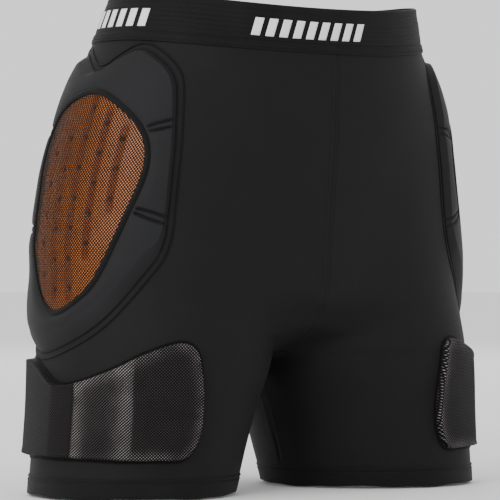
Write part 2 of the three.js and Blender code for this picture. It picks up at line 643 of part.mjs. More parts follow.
// Thigh pad: one cover over three blocks of foam, which fold at two creases.
addBoth('thigh_pad_cover', wrapped(coverOf(THIGH_PAD, patternLoop)), PAD_CLOTH, 0.8);
const thighFoam = foamSheet.intersect(cutter(patternLoop(grown(THIGH_PAD, -FOAM_INSET))));
const PAST = 10;                // a block that runs to the pad's edge is drawn this much past it
const THIGH_LIMITS = [-THIGH_PAD_FRONT - PAST, THIGH_FRONT_CREASE, THIGH_BACK_CREASE, THIGH_PAD_BACK + PAST];
['front', 'middle', 'back'].forEach((name, i) => {
  const part = block(THIGH_LIMITS[i], THIGH_LIMITS[i + 1], THIGH_PAD_TOP - PAST, THIGH_PAD_FOOT + PAST);
  addBoth(`thigh_pad_foam_${name}`, wrapped(thighFoam.intersect(part)), FOAM_GREY, 0.9);
});

// Tail pad, over the tailbone: one cover over two blocks of foam.
addCentred('tail_pad_cover', wrapped(coverOf(TAIL_PAD, tailLoop)), PAD_CLOTH, 0.8);
const tailFoam = foamSheet.intersect(cutter(tailLoop(grown(TAIL_PAD, -FOAM_INSET))));
const TAIL_GROOVE = TAIL_PAD_TOP + 62;
const tailUpper = area(MIDDLE, PATTERN_WIDTH + OVER, 0, TAIL_GROOVE - GROOVE_WIDTH / 2);
const tailLower = area(MIDDLE, PATTERN_WIDTH + OVER, TAIL_GROOVE + GROOVE_WIDTH / 2, LENGTH);
addCentred('tail_pad_foam_upper', wrapped(tailFoam.intersect(tailUpper)), FOAM_GREY, 0.9);
addCentred('tail_pad_foam_lower', wrapped(tailFoam.intersect(tailLower)), FOAM_GREY, 0.9);

export default root;
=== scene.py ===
import math

import bmesh
import bpy
import numpy as np
from bpy.props import FloatProperty, FloatVectorProperty, PointerProperty
from bpy.types import Operator, Panel, PropertyGroup
from mathutils import Matrix, Vector


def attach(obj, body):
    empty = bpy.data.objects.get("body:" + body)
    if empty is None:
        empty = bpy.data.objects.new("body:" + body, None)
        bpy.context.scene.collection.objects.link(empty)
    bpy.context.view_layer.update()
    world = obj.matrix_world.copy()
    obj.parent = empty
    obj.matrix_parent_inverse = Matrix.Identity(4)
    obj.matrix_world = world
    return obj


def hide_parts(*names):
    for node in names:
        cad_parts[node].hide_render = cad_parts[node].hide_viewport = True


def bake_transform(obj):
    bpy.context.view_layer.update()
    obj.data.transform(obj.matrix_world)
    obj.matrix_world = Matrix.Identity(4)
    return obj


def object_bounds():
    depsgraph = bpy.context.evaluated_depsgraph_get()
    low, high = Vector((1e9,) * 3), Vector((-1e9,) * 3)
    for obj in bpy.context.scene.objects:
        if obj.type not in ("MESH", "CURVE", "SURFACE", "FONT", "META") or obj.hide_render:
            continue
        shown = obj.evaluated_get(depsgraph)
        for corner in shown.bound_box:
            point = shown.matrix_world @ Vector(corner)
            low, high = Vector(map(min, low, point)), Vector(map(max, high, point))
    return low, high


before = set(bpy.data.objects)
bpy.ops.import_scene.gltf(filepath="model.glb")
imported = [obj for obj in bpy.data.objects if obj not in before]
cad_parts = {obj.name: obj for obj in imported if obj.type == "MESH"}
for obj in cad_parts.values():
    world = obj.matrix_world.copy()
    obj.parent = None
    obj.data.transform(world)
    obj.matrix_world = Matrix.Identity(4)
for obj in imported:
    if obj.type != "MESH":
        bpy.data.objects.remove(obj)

bl_info = {
    "name": "Padded Impact Shorts",
    "version": (1, 0, 0),
    "blender": (4, 5, 0),
    "location": "View3D > Sidebar > Shorts",
    "description": "Stretch shorts with sewn-in hip, thigh and tail pads",
    "category": "Object",
}

CAD_LOW, CAD_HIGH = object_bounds()
MM = 0.001


# ---- what a user may change ----

def length(name, description, default):
    return FloatProperty(name=name, description=description, default=default, min=0.0, unit="LENGTH")


def colour(name, description, default):
    return FloatVectorProperty(name=name, description=description, default=default, min=0.0, max=1.0,
                               subtype="COLOR")


class ShortsSizes(PropertyGroup):
    """The main sizes of the shorts. They are the CAD part's, so that the cloth lies where it should"""

    length: length("Length", "Waist to hem, down the side", -CAD_LOW.z)
    rise: length("Rise", "Waist to crotch", 0.303)
    waist_width: length("Waist width", "Across the waist opening", 0.280)
    waist_depth: length("Waist depth", "Front to back at the waist opening", 0.206)
    front_dip: length("Front dip", "How much lower the top edge is at the centre front", 0.012)
    hip_width: length("Hip width", "Across the hips, without the pads", 0.386)
    hip_front: length("Hip front", "From the waist's centre plane forwards, at the hips", 0.093)
    hip_back: length("Hip back", "From the waist's centre plane backwards, at the hips", 0.132)
    thigh_long: length("Thigh, long", "The leg opening's longer width under the crotch", 0.214)
    thigh_short: length("Thigh, short", "The leg opening's shorter width under the crotch", 0.200)
    hem_long: length("Hem, long", "The leg opening's longer width at the hem", 0.186)
    hem_short: length("Hem, short", "The leg opening's shorter width at the hem", 0.174)
    hem_stance: length("Stance", "Between the leg centres at the hems", 0.258)
    band_height: length("Waistband height", "Height of the elastic waistband", 0.040)
    hem_height: length("Hem height", "Height of the folded hem", 0.018)
    fabric: length("Fabric", "Thickness of the body fabric", 0.0012)
    pad_height: length("Pad height", "How far the pads stand off the skin", 0.0080)


class ShortsColours(PropertyGroup):
    """The colours of the cloths"""

    shell: colour("Body fabric", "Matt stretch knit of the body panels", (0.0088, 0.0088, 0.0094))
    pad: colour("Pad fabric", "Smooth knit over the hip and tail pads", (0.0150, 0.0150, 0.0163))
    band: colour("Waistband", "Woven elastic of the waistband and binding", (0.0062, 0.0062, 0.0066))
    thigh: colour("Thigh fabric", "Open two-tone knit of the thigh pads", (0.0070, 0.0058, 0.0063))
    # the colour of the painted glints on the thigh pads' knit, where light catches the yarn
    glint: colour("Thigh yarn", "Light yarn in the thigh pads' knit", (0.33, 0.31, 0.30))
    core: colour("Core", "Ribbed core behind the hip pad's window", (0.74, 0.205, 0.024))
    # painted shade: the core's colour darkened for its sunk channels, and darker still in the vent holes
    channel: colour("Core channels", "Sunk channels of the core", (0.56, 0.125, 0.014))
    net: colour("Window net", "Black net over the core", (0.006, 0.0055, 0.005))
    stripe: colour("Waistband stripes", "Printed bars on the waistband", (0.80, 0.80, 0.80))


# ---- curves and distances ----

SPAN_STEPS = 24
OUTLINE_POINTS = 720
BLOCK = 4000                # points whose distances are found at one time


def smooth(t):
    t = np.clip(t, 0.0, 1.0)
    return t * t * (3.0 - 2.0 * t)


def bump(distance, width):
    """A soft ridge, 1 at no distance and nearly 0 at twice the width."""
    return np.exp(-(distance / width) ** 2)


def through(stations, values, at):
    """A curve through stations that never overshoots them."""
    step = np.diff(stations)
    slope = np.diff(values) / step
    product, total = slope[:-1] * slope[1:], slope[:-1] + slope[1:]
    inner = np.where(product > 0, 2 * product / np.where(total == 0, 1, total), 0)
    tangent = np.concatenate([slope[:1], inner, slope[-1:]])
    at = np.clip(at, stations[0], stations[-1])
    i = np.clip(np.searchsorted(stations, at, side="right") - 1, 0, len(step) - 1)
    t = (at - stations[i]) / step[i]
    r = 1 - t
    start = (1 + 2 * t) * r * r * values[i] + t * r * r * step[i] * tangent[i]
    return start + t * t * (3 - 2 * t) * values[i + 1] - t * t * r * step[i] * tangent[i + 1]


def closed_row(points):
    return np.vstack([points, points[:1]])


def run_along(points):
    """How far along a row of points each of them lies."""
    return np.concatenate([[0], np.cumsum(np.linalg.norm(np.diff(points, axis=0), axis=1))])


def evenly(points, count):
    """Points at even steps along a closed loop."""
    closed = closed_row(points)
    run = run_along(closed)
    at = np.linspace(0, run[-1], count, endpoint=False)
    return np.stack([np.interp(at, run, closed[:, k]) for k in range(2)], axis=1)


def outline(stations):
    """A smooth closed outline through a few points, as points at even steps."""
    p1 = np.array(stations, float)
    p0, p2, p3 = np.roll(p1, 1, axis=0), np.roll(p1, -1, axis=0), np.roll(p1, -2, axis=0)
    pairs = ((p0, p1), (p1, p2), (p2, p3))
    d0, d1, d2 = (np.linalg.norm(b - a, axis=1)[:, None] ** 0.5 for a, b in pairs)
    start = ((p1 - p0) / d0 - (p2 - p0) / (d0 + d1) + (p2 - p1) / d1) * d1
    end = ((p2 - p1) / d1 - (p3 - p1) / (d1 + d2) + (p3 - p2) / d2) * d1
    spans = []
    for t in np.linspace(0, 1, SPAN_STEPS, endpoint=False):
        r = 1 - t
        leaving = (1 + 2 * t) * r * r * p1 + t * r * r * start
        spans.append(leaving + t * t * (3 - 2 * t) * p2 - t * t * r * end)
    return evenly(np.stack(spans, axis=1).reshape(-1, 2), OUTLINE_POINTS)


def inward(loop):
    """The direction square to a loop at each of its points, towards its inside."""
    along = np.roll(loop, -1, axis=0) - np.roll(loop, 1, axis=0)
    along /= np.linalg.norm(along, axis=1)[:, None]
    square = np.stack([-along[:, 1], along[:, 0]], axis=1)
    area = np.sum(loop[:, 0] * np.roll(loop[:, 1], -1) - np.roll(loop[:, 0], -1) * loop[:, 1])
    return square * np.sign(area)


def grown(loop, distance):
    return loop - inward(loop) * distance


def distance_to(points, loop):
    """Distance from each point to the nearest side of a loop."""
    a, b = loop, np.roll(loop, -1, axis=0)
    side = b - a
    size = np.sum(side * side, axis=1)
    found = np.empty(len(points))
    for low in range(0, len(points), BLOCK):
        off = points[low:low + BLOCK, None, :] - a[None]
        t = np.clip(np.sum(off * side, axis=2) / size, 0, 1)
        found[low:low + BLOCK] = np.sqrt(np.min(np.sum((off - t[..., None] * side) ** 2, axis=2), axis=1))
    return found


def limits(loop, at, axis):
    """The two places where a straight line across a rounded loop meets it, where the line lies at this value
    of the axis: 0 is round the body and 1 is down it."""
    first, last = np.argmin(loop[:, axis]), np.argmax(loop[:, axis])
    turned = np.roll(loop, -first, axis=0)
    split = (last - first) % len(loop)
    halves = turned[:split + 1], closed_row(turned)[split:][::-1]
    a, b = (np.interp(at, half[:, axis], half[:, 1 - axis]) for half in halves)
    return np.minimum(a, b), np.maximum(a, b)


def to_line(points, start, end):
    """Distance to one side or the other of a straight line, and how far along it, in millimetres."""
    start, end = np.array(start, float), np.array(end, float)
    along = (end - start) / np.linalg.norm(end - start)
    off = points - start
    return off[:, 0] * along[1] - off[:, 1] * along[0], off @ along


# ---- the form of the body ----

LEG_TURN = math.radians(45)
TRUNK_ROUNDING = 2.15
HIP_BLEND = 26.0
CROTCH_BLEND = 14.0
DIP_DEPTH = 200.0
LEVEL_NEAR_EDGE = 34.0      # thickness grows level at the waist and the hem, square to the form past this
SPARE_REACH = 60.0          # how far above the crotch the cloth's spare width begins to lie in the seam


def oval(x, y, half_x, half_y, power=2.0):
    reach = (np.abs(x / half_x) ** power + np.abs(y / half_y) ** power) ** (1 / power)
    return (reach - 1) * np.minimum(half_x, half_y)


def merged(a, b, width):
    h = np.clip(0.5 + 0.5 * (b - a) / width, 0, 1)
    return b + (a - b) * h - width * h * (1 - h)


class Form:
    """The left half of the body under the cloth, in millimetres: at each depth a ring from the front end,
    round the outside, to the back end. Every piece of cloth is laid on it by its place on the pattern."""

    ROW = 2.0               # between rows of the tables
    REACH = 340.0           # of the table by distance, to each side of the side line
    STEP = 4.0              # between its columns
    SHARES = 321            # columns of the table by share
    RAYS = 385
    HALVINGS = 30

    def __init__(self, sizes):
        mm = {name: 1000.0 * getattr(sizes, name) for name in ShortsSizes.__annotations__}
        self.mm = mm
        self.length, self.rise = mm["length"], mm["rise"]
        self.depths = np.arange(-self.ROW, self.length + 2 * self.ROW, self.ROW)
        self.measures(mm)
        self.build()

    def measures(self, mm):
        rise, long_, half, depth = mm["rise"], mm["length"], mm["waist_width"] / 2, mm["waist_depth"] / 2
        hip, front, back = mm["hip_width"] / 2, mm["hip_front"], mm["hip_back"]
        trunk = np.array([
            (0, half, -depth, depth),
            (0.13 * rise, half + 14, 3 - depth, depth + 11),
            (0.33 * rise, hip - 12, -front - 5, back - 8),
            (0.53 * rise, hip, -front, back),
            (0.69 * rise, hip - 1, 5 - front, back - 1),
            (0.825 * rise, hip - 28, 9 - front, back - 20),
            (0.94 * rise, hip - 85, 33 - front, back - 52),
            (0.99 * rise, 60, -14, 52),
            (1.01 * rise, 24, 10, 30),
        ])
        thigh, across = mm["thigh_long"] / 2, mm["thigh_short"] / 2
        hem, hem_across, stance = mm["hem_long"] / 2, mm["hem_short"] / 2, mm["hem_stance"] / 2
        leg = np.array([
            (0, 90, 10, 40, 40),
            (0.4 * rise, 92, 18, thigh - 25, across - 22),
            (0.66 * rise, 97, 24, thigh - 9, across - 5),
            (0.825 * rise, 100, 24, thigh - 3, across),
            (rise, math.hypot(thigh, across) / math.sqrt(2) + 0.5, 20, thigh, across),
            (0.45 * long_ + 0.55 * rise, stance - 13, 19, hem + 7, hem_across + 6),
            (long_, stance, 19, hem, hem_across),
        ])
        column = self.depths[:, None]
        self.half, self.front, self.back = (through(trunk[:, 0], row, column) for row in trunk.T[1:])
        self.out, self.mid, self.long, self.short = (through(leg[:, 0], row, column) for row in leg.T[1:])

    def leg(self, x, y):
        dx, dy = x - self.out, y - self.mid
        c, s = math.cos(LEG_TURN), math.sin(LEG_TURN)
        return oval(dx * c - dy * s, dy * c + dx * s, self.long, self.short)

    def body(self, x, y):
        """Negative inside the body, positive outside it."""
        middle, half_deep = (self.front + self.back) / 2, (self.back - self.front) / 2
        trunk = oval(x, y - middle, self.half, half_deep, TRUNK_ROUNDING)
        left = self.leg(x, y)
        joined = merged(trunk, merged(left, self.leg(-x, y), CROTCH_BLEND), HIP_BLEND)
        return np.where(self.depths[:, None] > self.rise, left, joined)

    def reach(self, x, y, dx, dy):
        """How far it is from a point inside to the surface, or to the centre plane where that is nearer."""
        above = self.depths[:, None] <= self.rise
        stop = np.where((dx < -1e-6) & above, -x / np.minimum(dx, -1e-6), 400.0)
        free = self.body(x + dx * stop, y + dy * stop) < 0
        low, high = np.zeros_like(stop), stop.copy()
        for _ in range(self.HALVINGS):
            middle = (low + high) / 2
            within = self.body(x + dx * middle, y + dy * middle) < 0
            low, high = np.where(within, middle, low), np.where(within, high, middle)
        return np.where(free, stop, low)

    def build(self):
        above = self.depths[:, None] <= self.rise
        nought = np.zeros_like(self.mid)
        ahead = self.reach(nought, self.mid, nought, nought - 1)
        behind = self.reach(nought, self.mid, nought, nought + 1)
        start = np.where(above, np.arctan2(-ahead, -self.out), -math.pi)
        end = np.where(above, np.arctan2(behind, -self.out), math.pi)
        angle = start + (end - start) * np.linspace(0, 1, self.RAYS)
        far = self.reach(self.out, self.mid, np.cos(angle), np.sin(angle))
        x, y = self.out + np.cos(angle) * far, self.mid + np.sin(angle) * far
        run = np.concatenate([nought, np.cumsum(np.hypot(np.diff(x), np.diff(y)), axis=1)], axis=1)
        side = np.array([np.interp(0.0, a, r) for a, r in zip(angle, run)])
        self.ends = np.stack([-side, run[:, -1] - side], axis=1)
        across = np.arange(-self.REACH, self.REACH + self.STEP, self.STEP)
        longer = self.extended(x, y, run, above)
        self.by_side = self.settled(self.table(*longer, side[:, None] + across))
        halves = np.linspace(0, 2, self.SHARES)
        behind_side = side[:, None] + (halves - 1) * self.ends[:, 1:]
        wanted = np.where(halves <= 1, halves * side[:, None], behind_side)
        self.by_share = self.table(x, y, run, wanted)

    def extended(self, x, y, run, above):
        """Every ring with a second and third length, so that it goes on past both its ends: into the other
        half above the crotch, and round the leg again below it."""
        whole = run[:, -1:]
        more_x, more_y = np.where(above, -x[:, ::-1], x), np.where(above, y[:, ::-1], y)
        more = np.where(above, whole - run[:, ::-1], run)
        return (np.concatenate([more_x[:, :-1], x, more_x[:, 1:]], axis=1),
                np.concatenate([more_y[:, :-1], y, more_y[:, 1:]], axis=1),
                np.concatenate([more[:, :-1] - whole, run, more[:, 1:] + whole], axis=1))

    def settled(self, table):
        """The table again, with the step where the legs part smoothed out over a few rows."""
        soft = table.copy()
        for _ in range(12):
            soft[1:-1] = (soft[:-2] + 2 * soft[1:-1] + soft[2:]) / 4
        return table + (soft - table) * bump(self.depths - self.rise, 14.0)[:, None, None]

    def edges(self, depth):
        """How far a panel of cloth reaches forwards and back. Just above the crotch its spare width lies in
        the seam, so that its threads run on straight into the leg."""
        found = []
        for end in (-self.ends[:, 0], self.ends[:, 1]):
            above, below = np.interp([self.rise - self.ROW, self.rise + self.ROW], self.depths, end)
            spare = (below - above) * smooth(1 + (depth - self.rise) / SPARE_REACH)
            spare = spare * (depth < self.rise + self.ROW)
            found.append(np.interp(depth, self.depths, end) + spare)
        return found

    def table(self, x, y, run, wanted):
        """Places and outward directions at the wanted distances along every ring."""
        place = np.empty(wanted.shape + (3,))
        for i, want in enumerate(wanted):
            place[i, :, 0] = np.interp(want, run[i], x[i])
            place[i, :, 1] = np.interp(want, run[i], y[i])
        forward = np.clip(-place[..., 1] / (self.mm["waist_depth"] / 2), 0, 1)
        dip = self.mm["front_dip"] * forward ** 2 * (1 - smooth(self.depths[:, None] / DIP_DEPTH))
        place[..., 2] = -self.depths[:, None] - dip
        round_it, down = np.gradient(place, axis=1), np.gradient(place, axis=0)
        out = np.cross(round_it, -down)
        out /= np.maximum(np.linalg.norm(out, axis=2), 1e-9)[..., None]
        edge = np.minimum(self.depths, self.length - self.depths) / LEVEL_NEAR_EDGE
        out[..., 2] *= np.clip(edge, 0, 1)[:, None]
        out /= np.linalg.norm(out, axis=2)[..., None]
        return np.concatenate([place, out], axis=2)

    def sample(self, table, column, depth, height):
        """Smoothly read a table between its rows and columns."""
        row = np.clip((depth - self.depths[0]) / self.ROW, 1, len(self.depths) - 2.001)
        column = np.clip(column, 0, table.shape[1] - 1.001)
        i, j = np.floor(row).astype(int), np.floor(column).astype(int)
        found = 0
        for di, wi in self.weights(row - i):
            for dj, wj in self.weights(column - j):
                at = table[np.clip(i + di, 0, table.shape[0] - 1), np.clip(j + dj, 0, table.shape[1] - 1)]
                found = found + at * (wi * wj)[:, None]
        place, out = found[:, :3], found[:, 3:]
        out = out / np.linalg.norm(out, axis=1)[:, None]
        return (place + out * np.asarray(height).reshape(-1, 1)) * MM, out

    @staticmethod
    def weights(t):
        t2, t3 = t * t, t * t * t
        return ((-1, (-t3 + 2 * t2 - t) / 2), (0, (3 * t3 - 5 * t2 + 2) / 2),
                (1, (-3 * t3 + 4 * t2 + t) / 2), (2, (t3 - t2) / 2))

    def at_side(self, around, depth, height=0.0):
        """A place on the left half by its distance from the side line, forwards being negative."""
        height = np.broadcast_to(height, np.shape(around))
        return self.sample(self.by_side, (around + self.REACH) / self.STEP, depth, height)

    def at_share(self, share, depth, height=0.0):
        """A place on the left half by its share of the ring, from the front end, 0, to the back end, 1."""
        height = np.broadcast_to(height, np.shape(share))
        return self.sample(self.by_share, share * (self.by_share.shape[1] - 1), depth, height)

    def to_back(self, depth):
        return np.interp(depth, self.depths, self.ends[:, 1])

    def to_front(self, depth):
        return -np.interp(depth, self.depths, self.ends[:, 0])

    def at_back(self, across, depth, height=0.0):
        """A place by its distance from the centre back, towards the left being positive."""
        place, out = self.at_side(self.to_back(depth) - np.abs(across), depth, height)
        same = np.ones_like(across)
        turn = np.stack([np.where(across < 0, -1.0, 1.0), same, same], axis=1)
        return place * turn, out * turn


FORMS = {}


def form():
    """The form for the sizes that are set now."""
    sizes = bpy.context.scene.shorts_sizes
    key = tuple(round(getattr(sizes, name), 6) for name in ShortsSizes.__annotations__)
    if key not in FORMS:
        FORMS.clear()
        FORMS[key] = Form(sizes)
    return FORMS[key]


# ---- meshes ----

def grid(across, down, place, attributes=()):
    """A mesh grid whose points are laid by place(column, row), which gives their places, their pattern
    coordinates and their masks."""
    bm = bmesh.new()
    bmesh.ops.create_grid(bm, x_segments=across, y_segments=down, size=0.5)
    mesh = bpy.data.meshes.new("cloth")
    bm.to_mesh(mesh)
    bm.free()
    flat = np.empty(len(mesh.vertices) * 3, np.float32)
    mesh.vertices.foreach_get("co", flat)
    flat = flat.reshape(-1, 3).astype(float)
    column = np.rint((flat[:, 0] + 0.5) * across).astype(int)
    row = np.rint((flat[:, 1] + 0.5) * down).astype(int)
    places, pattern, masks = place(column, row)
    mesh.vertices.foreach_set("co", places.astype(np.float32).ravel())
    corner = np.empty(len(mesh.loops), np.int32)
    mesh.loops.foreach_get("vertex_index", corner)
    layer = mesh.uv_layers.new(name="pattern")
    layer.data.foreach_set("uv", (pattern[corner] * MM).astype(np.float32).ravel())
    for name, value in zip(attributes, masks):
        mesh.attributes.new(name, "FLOAT", "POINT").data.foreach_set("value", value.astype(np.float32))
    return mesh


def on_pattern(around, depth):
    """Places on the flat pattern."""
    return np.stack([around, -depth], axis=1)


def weld(mesh, distance=1e-6, thickness=0.0):
    """Joins the points that meet, gives a single sheet its thickness, and turns the faces outwards. The
    thickness grows against the sheet's normals, and along them where it is negative."""
    bm = bmesh.new()
    bm.from_mesh(mesh)
    bmesh.ops.remove_doubles(bm, verts=bm.verts[:], dist=distance)
    bmesh.ops.dissolve_degenerate(bm, dist=distance, edges=bm.edges[:])
    if thickness:
        bmesh.ops.solidify(bm, geom=bm.faces[:], thickness=thickness)
    bmesh.ops.recalc_face_normals(bm, faces=bm.faces[:])
    for face in bm.faces:
        face.smooth = True
    bm.to_mesh(mesh)
    bm.free()
    return mesh


def joined(meshes):
    """Several meshes as one."""
    bm = bmesh.new()
    for mesh in meshes:
        bm.from_mesh(mesh)
        bpy.data.meshes.remove(mesh)
    whole = bpy.data.meshes.new("cloth")
    bm.to_mesh(whole)
    bm.free()
    return whole


def piece(name, mesh, material):
    mesh.name = name
    mesh.materials.clear()
    mesh.materials.append(cloth(material))
    obj = bpy.data.objects.new(name, mesh)
    bpy.context.collection.objects.link(obj)
    return obj


def mirrored(mesh):
    other = mesh.copy()
    other.transform(Matrix.Scale(-1, 4, (1, 0, 0)))
    other.flip_normals()
    return other


def both(name, mesh, material):
    """The left piece and its mirror image, by their sides."""
    meshes = {"left": mesh, "right": mirrored(mesh)}
    return {side: piece(f"{side}_{name}", made, material) for side, made in meshes.items()}


def bend(obj):
    """Bakes the piece's transform into its mesh."""
    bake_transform(obj)


# ---- materials ----

class Shader:
    """A new material with its Principled shader, and short ways to add nodes to it."""

    def __init__(self, name, colour, roughness, **sockets):
        self.material = bpy.data.materials.new(name)
        self.material.use_nodes = True
        self.material.diffuse_color = (*colour[:3], 1)
        self.tree = self.material.node_tree
        self.surface = self.tree.nodes["Principled BSDF"]
        self.surface.inputs["Base Color"].default_value = (*colour[:3], 1)
        self.surface.inputs["Roughness"].default_value = roughness
        for socket, value in sockets.items():
            self.surface.inputs[socket.replace("_", " ").title().replace("Ior", "IOR")].default_value = value

    def node(self, kind, inputs=None, **settings):
        made = self.tree.nodes.new(kind)
        for key, value in settings.items():
            setattr(made, key, value)
        for key, value in (inputs or {}).items():
            if isinstance(value, bpy.types.NodeSocket):
                self.tree.links.new(value, made.inputs[key])
            else:
                made.inputs[key].default_value = value
        return made

    def link(self, output, socket):
        self.tree.links.new(output, self.surface.inputs[socket])

    def pattern(self, turn):
        """The place on the flat pattern, in metres, turned."""
        uv = self.node("ShaderNodeUVMap", uv_map="pattern").outputs["UV"]
        return self.node("ShaderNodeMapping", {"Vector": uv, "Rotation": (0, 0, turn)}).outputs["Vector"]

    def place(self):
        return self.node("ShaderNodeTexCoord").outputs["Object"]

    def noise(self, scale, detail=3.0, roughness=0.55):
        inputs = {"Vector": self.place(), "Scale": scale, "Detail": detail, "Roughness": roughness}
        return self.node("ShaderNodeTexNoise", inputs).outputs["Fac"]

    def lines(self, pitch, turn, distortion):
        """Parallel lines across the pattern, with this pitch in metres."""
        inputs = {"Vector": self.pattern(turn), "Scale": math.pi / 10 / pitch, "Distortion": distortion,
                  "Detail": 1.0}
        made = self.node("ShaderNodeTexWave", inputs, wave_type="BANDS", bands_direction="X")
        return made.outputs["Fac"]

    def math(self, operation, a, b=0.0, clamp=False):
        return self.node("ShaderNodeMath", {0: a, 1: b}, operation=operation, use_clamp=clamp).outputs[0]

    def ramp(self, value, low, high):
        made = self.node("ShaderNodeMapRange", {"Value": value, "From Min": low, "From Max": high},
                         interpolation_type="SMOOTHSTEP")
        return made.outputs["Result"]

    def mix(self, factor, a, b):
        made = self.node("ShaderNodeMix", data_type="RGBA")
        for socket, value in ((made.inputs[0], factor), (made.inputs[6], a), (made.inputs[7], b)):
            if isinstance(value, bpy.types.NodeSocket):
                self.tree.links.new(value, socket)
            else:
                socket.default_value = (*value[:3], 1) if hasattr(value, "__len__") else value
        return made.outputs[2]

    def mask(self, name):
        return self.node("ShaderNodeAttribute", attribute_name=name).outputs["Fac"]

    def relief(self, height, distance):
        made = self.node("ShaderNodeBump", {"Height": height, "Distance": distance, "Strength": 1.0})
        self.link(made.outputs["Normal"], "Normal")


def times(colour, factor):
    return tuple(min(channel * factor, 1.0) for channel in colour)


def knit(name, colour, roughness, pitch, depth, sheen):
    """A fine jersey knit: columns of loops, soft mottling and a faint sheen."""
    shader = Shader(name, colour, roughness, specular_ior_level=0.12, sheen_weight=sheen,
                    sheen_roughness=0.35)
    columns = shader.lines(pitch, 0.0, 0.6)
    courses = shader.lines(pitch * 0.8, math.pi / 2, 0.6)
    loops = shader.math("MULTIPLY", columns, courses)
    cloudy = shader.ramp(shader.noise(38.0, 4.0), 0.3, 0.75)
    grainy = shader.noise(900.0, 2.0, 0.7)
    tone = shader.mix(cloudy, times(colour, 0.82), times(colour, 1.2))
    tone = shader.mix(shader.ramp(loops, 0.1, 0.9), times(colour, 0.8), tone)
    shader.link(tone, "Base Color")
    shader.link(shader.math("ADD", shader.math("MULTIPLY", grainy, 0.16), roughness - 0.08), "Roughness")
    shader.relief(shader.math("ADD", loops, shader.math("MULTIPLY", grainy, 0.5)), depth)
    return shader.material


def elastic(name, colour):
    """Woven elastic: horizontal ribs crossed by fine upright threads."""
    shader = Shader(name, colour, 0.6, specular_ior_level=0.12, sheen_weight=0.02, sheen_roughness=0.4)
    threads = shader.lines(0.0011, 0.0, 0.4)
    weave = shader.math("MULTIPLY", threads, shader.lines(0.0013, math.pi / 2, 0.3))
    grainy = shader.noise(700.0, 2.0, 0.7)
    tone = shader.mix(shader.ramp(weave, 0.1, 0.9), times(colour, 0.65), times(colour, 1.35))
    tone = shader.mix(shader.ramp(shader.noise(30.0), 0.3, 0.8), tone, times(colour, 1.1))
    shader.link(tone, "Base Color")
    shader.relief(shader.math("ADD", weave, shader.math("MULTIPLY", grainy, 0.4)), 0.0003)
    return shader.material


def thigh_knit(name, colour, glint):
    """An open two-tone knit: two sets of slanting cords with painted glints where they cross. The painted
    glints are brightest along the pad's edges and creases, where light catches the knit."""
    shader = Shader(name, colour, 0.6, specular_ior_level=0.08, sheen_weight=0.02, sheen_roughness=0.4)
    rising, falling = (shader.lines(0.0018, math.radians(turn), 0.2) for turn in (45, -45))
    crossed = shader.math("MULTIPLY", shader.ramp(rising, 0.3, 0.95), shader.ramp(falling, 0.3, 0.95))
    slanted = shader.math("MULTIPLY", shader.ramp(rising, 0.0, 0.35), shader.ramp(falling, 0.45, 0.95))
    dots = shader.node("ShaderNodeMix", {0: shader.mask("middle"), 2: crossed, 3: slanted}).outputs[0]
    cords = shader.math("MAXIMUM", shader.math("MULTIPLY", falling, 0.7), dots)
    # painted glints on the knit's dots: faint everywhere, strong by the edges and creases, varied by noise
    painted_glint = shader.math("MULTIPLY", shader.mask("painted_glint_mask"), shader.ramp(shader.noise(60.0), 0.1, 0.7))
    light = shader.math("MULTIPLY", dots, shader.math("ADD", painted_glint, 0.045), clamp=True)
    ground = shader.mix(cords, times(colour, 0.5), times(colour, 1.6))
    woven = shader.mix(light, ground, glint)
    tone = shader.mix(shader.mask("flange"), woven, times(colour, 0.5))
    shader.link(tone, "Base Color")
    shader.link(shader.math("SUBTRACT", 0.68, shader.math("MULTIPLY", dots, 0.25)), "Roughness")
    shader.relief(cords, 0.0005)
    return shader.material


def core_foam(name, colour, channel):
    """Glossy moulded foam, with painted shade darkening its sunk channels and, darker still, its vent holes.
    """
    shader = Shader(name, colour, 0.34, coat_weight=0.2, coat_roughness=0.25)
    cloudy = shader.ramp(shader.noise(24.0, 3.0), 0.25, 0.8)
    skin = shader.mix(cloudy, times(colour, 0.86), times(colour, 1.12))
    # painted shade in the sunk channels
    toned = shader.mix(shader.mask("channel"), skin, channel)
    # painted shade, darker still, in the vent holes
    tone = shader.mix(shader.mask("hole"), toned, times(channel, 0.22))
    shader.link(tone, "Base Color")
    pores = shader.noise(1500.0, 2.0, 0.7)
    shader.link(shader.math("ADD", shader.math("MULTIPLY", pores, 0.2), 0.24), "Roughness")
    shader.relief(pores, 0.00008)
    return shader.material


def yarn(name, colour, roughness=0.5):
    """Twisted thread."""
    shader = Shader(name, colour, roughness, specular_ior_level=0.1, sheen_weight=0.02, sheen_roughness=0.4)
    grainy = shader.noise(2600.0, 2.0, 0.6)
    shader.link(shader.mix(grainy, times(colour, 0.6), times(colour, 1.5)), "Base Color")
    shader.relief(grainy, 0.0001)
    return shader.material


MATERIALS = {}


def cloth(name):
    """One of the shorts' materials, made when it is first asked for."""
    if name not in MATERIALS:
        colours = bpy.context.scene.shorts_colours
        made = {
            "shell": lambda: knit("shell_jersey", colours.shell, 0.62, 0.0010, 0.00012, 0.015),
            "pad": lambda: knit("pad_jersey", colours.pad, 0.60, 0.0009, 0.00010, 0.02),
            "band": lambda: elastic("waistband_elastic", colours.band),
            "thigh": lambda: thigh_knit("thigh_two_tone_knit", colours.thigh, colours.glint),
            "core": lambda: core_foam("core_foam", colours.core, colours.channel),
            "net": lambda: yarn("window_net_cord", colours.net, 0.42),
            "tape": lambda: elastic("binding_tape", times(colours.band, 0.8)),
            "thread": lambda: yarn("black_thread", times(colours.band, 1.6)),
            "stripe": lambda: yarn("stripe_print", colours.stripe, 0.6),
        }
        MATERIALS[name] = made[name]()
    return MATERIALS[name]


# ---- seams and stitches ----

STITCH_LIFT = 0.1
PAD_BASE = 1.35             # height of the pads' undersides and edges
PAD_LOWEST = 1.5


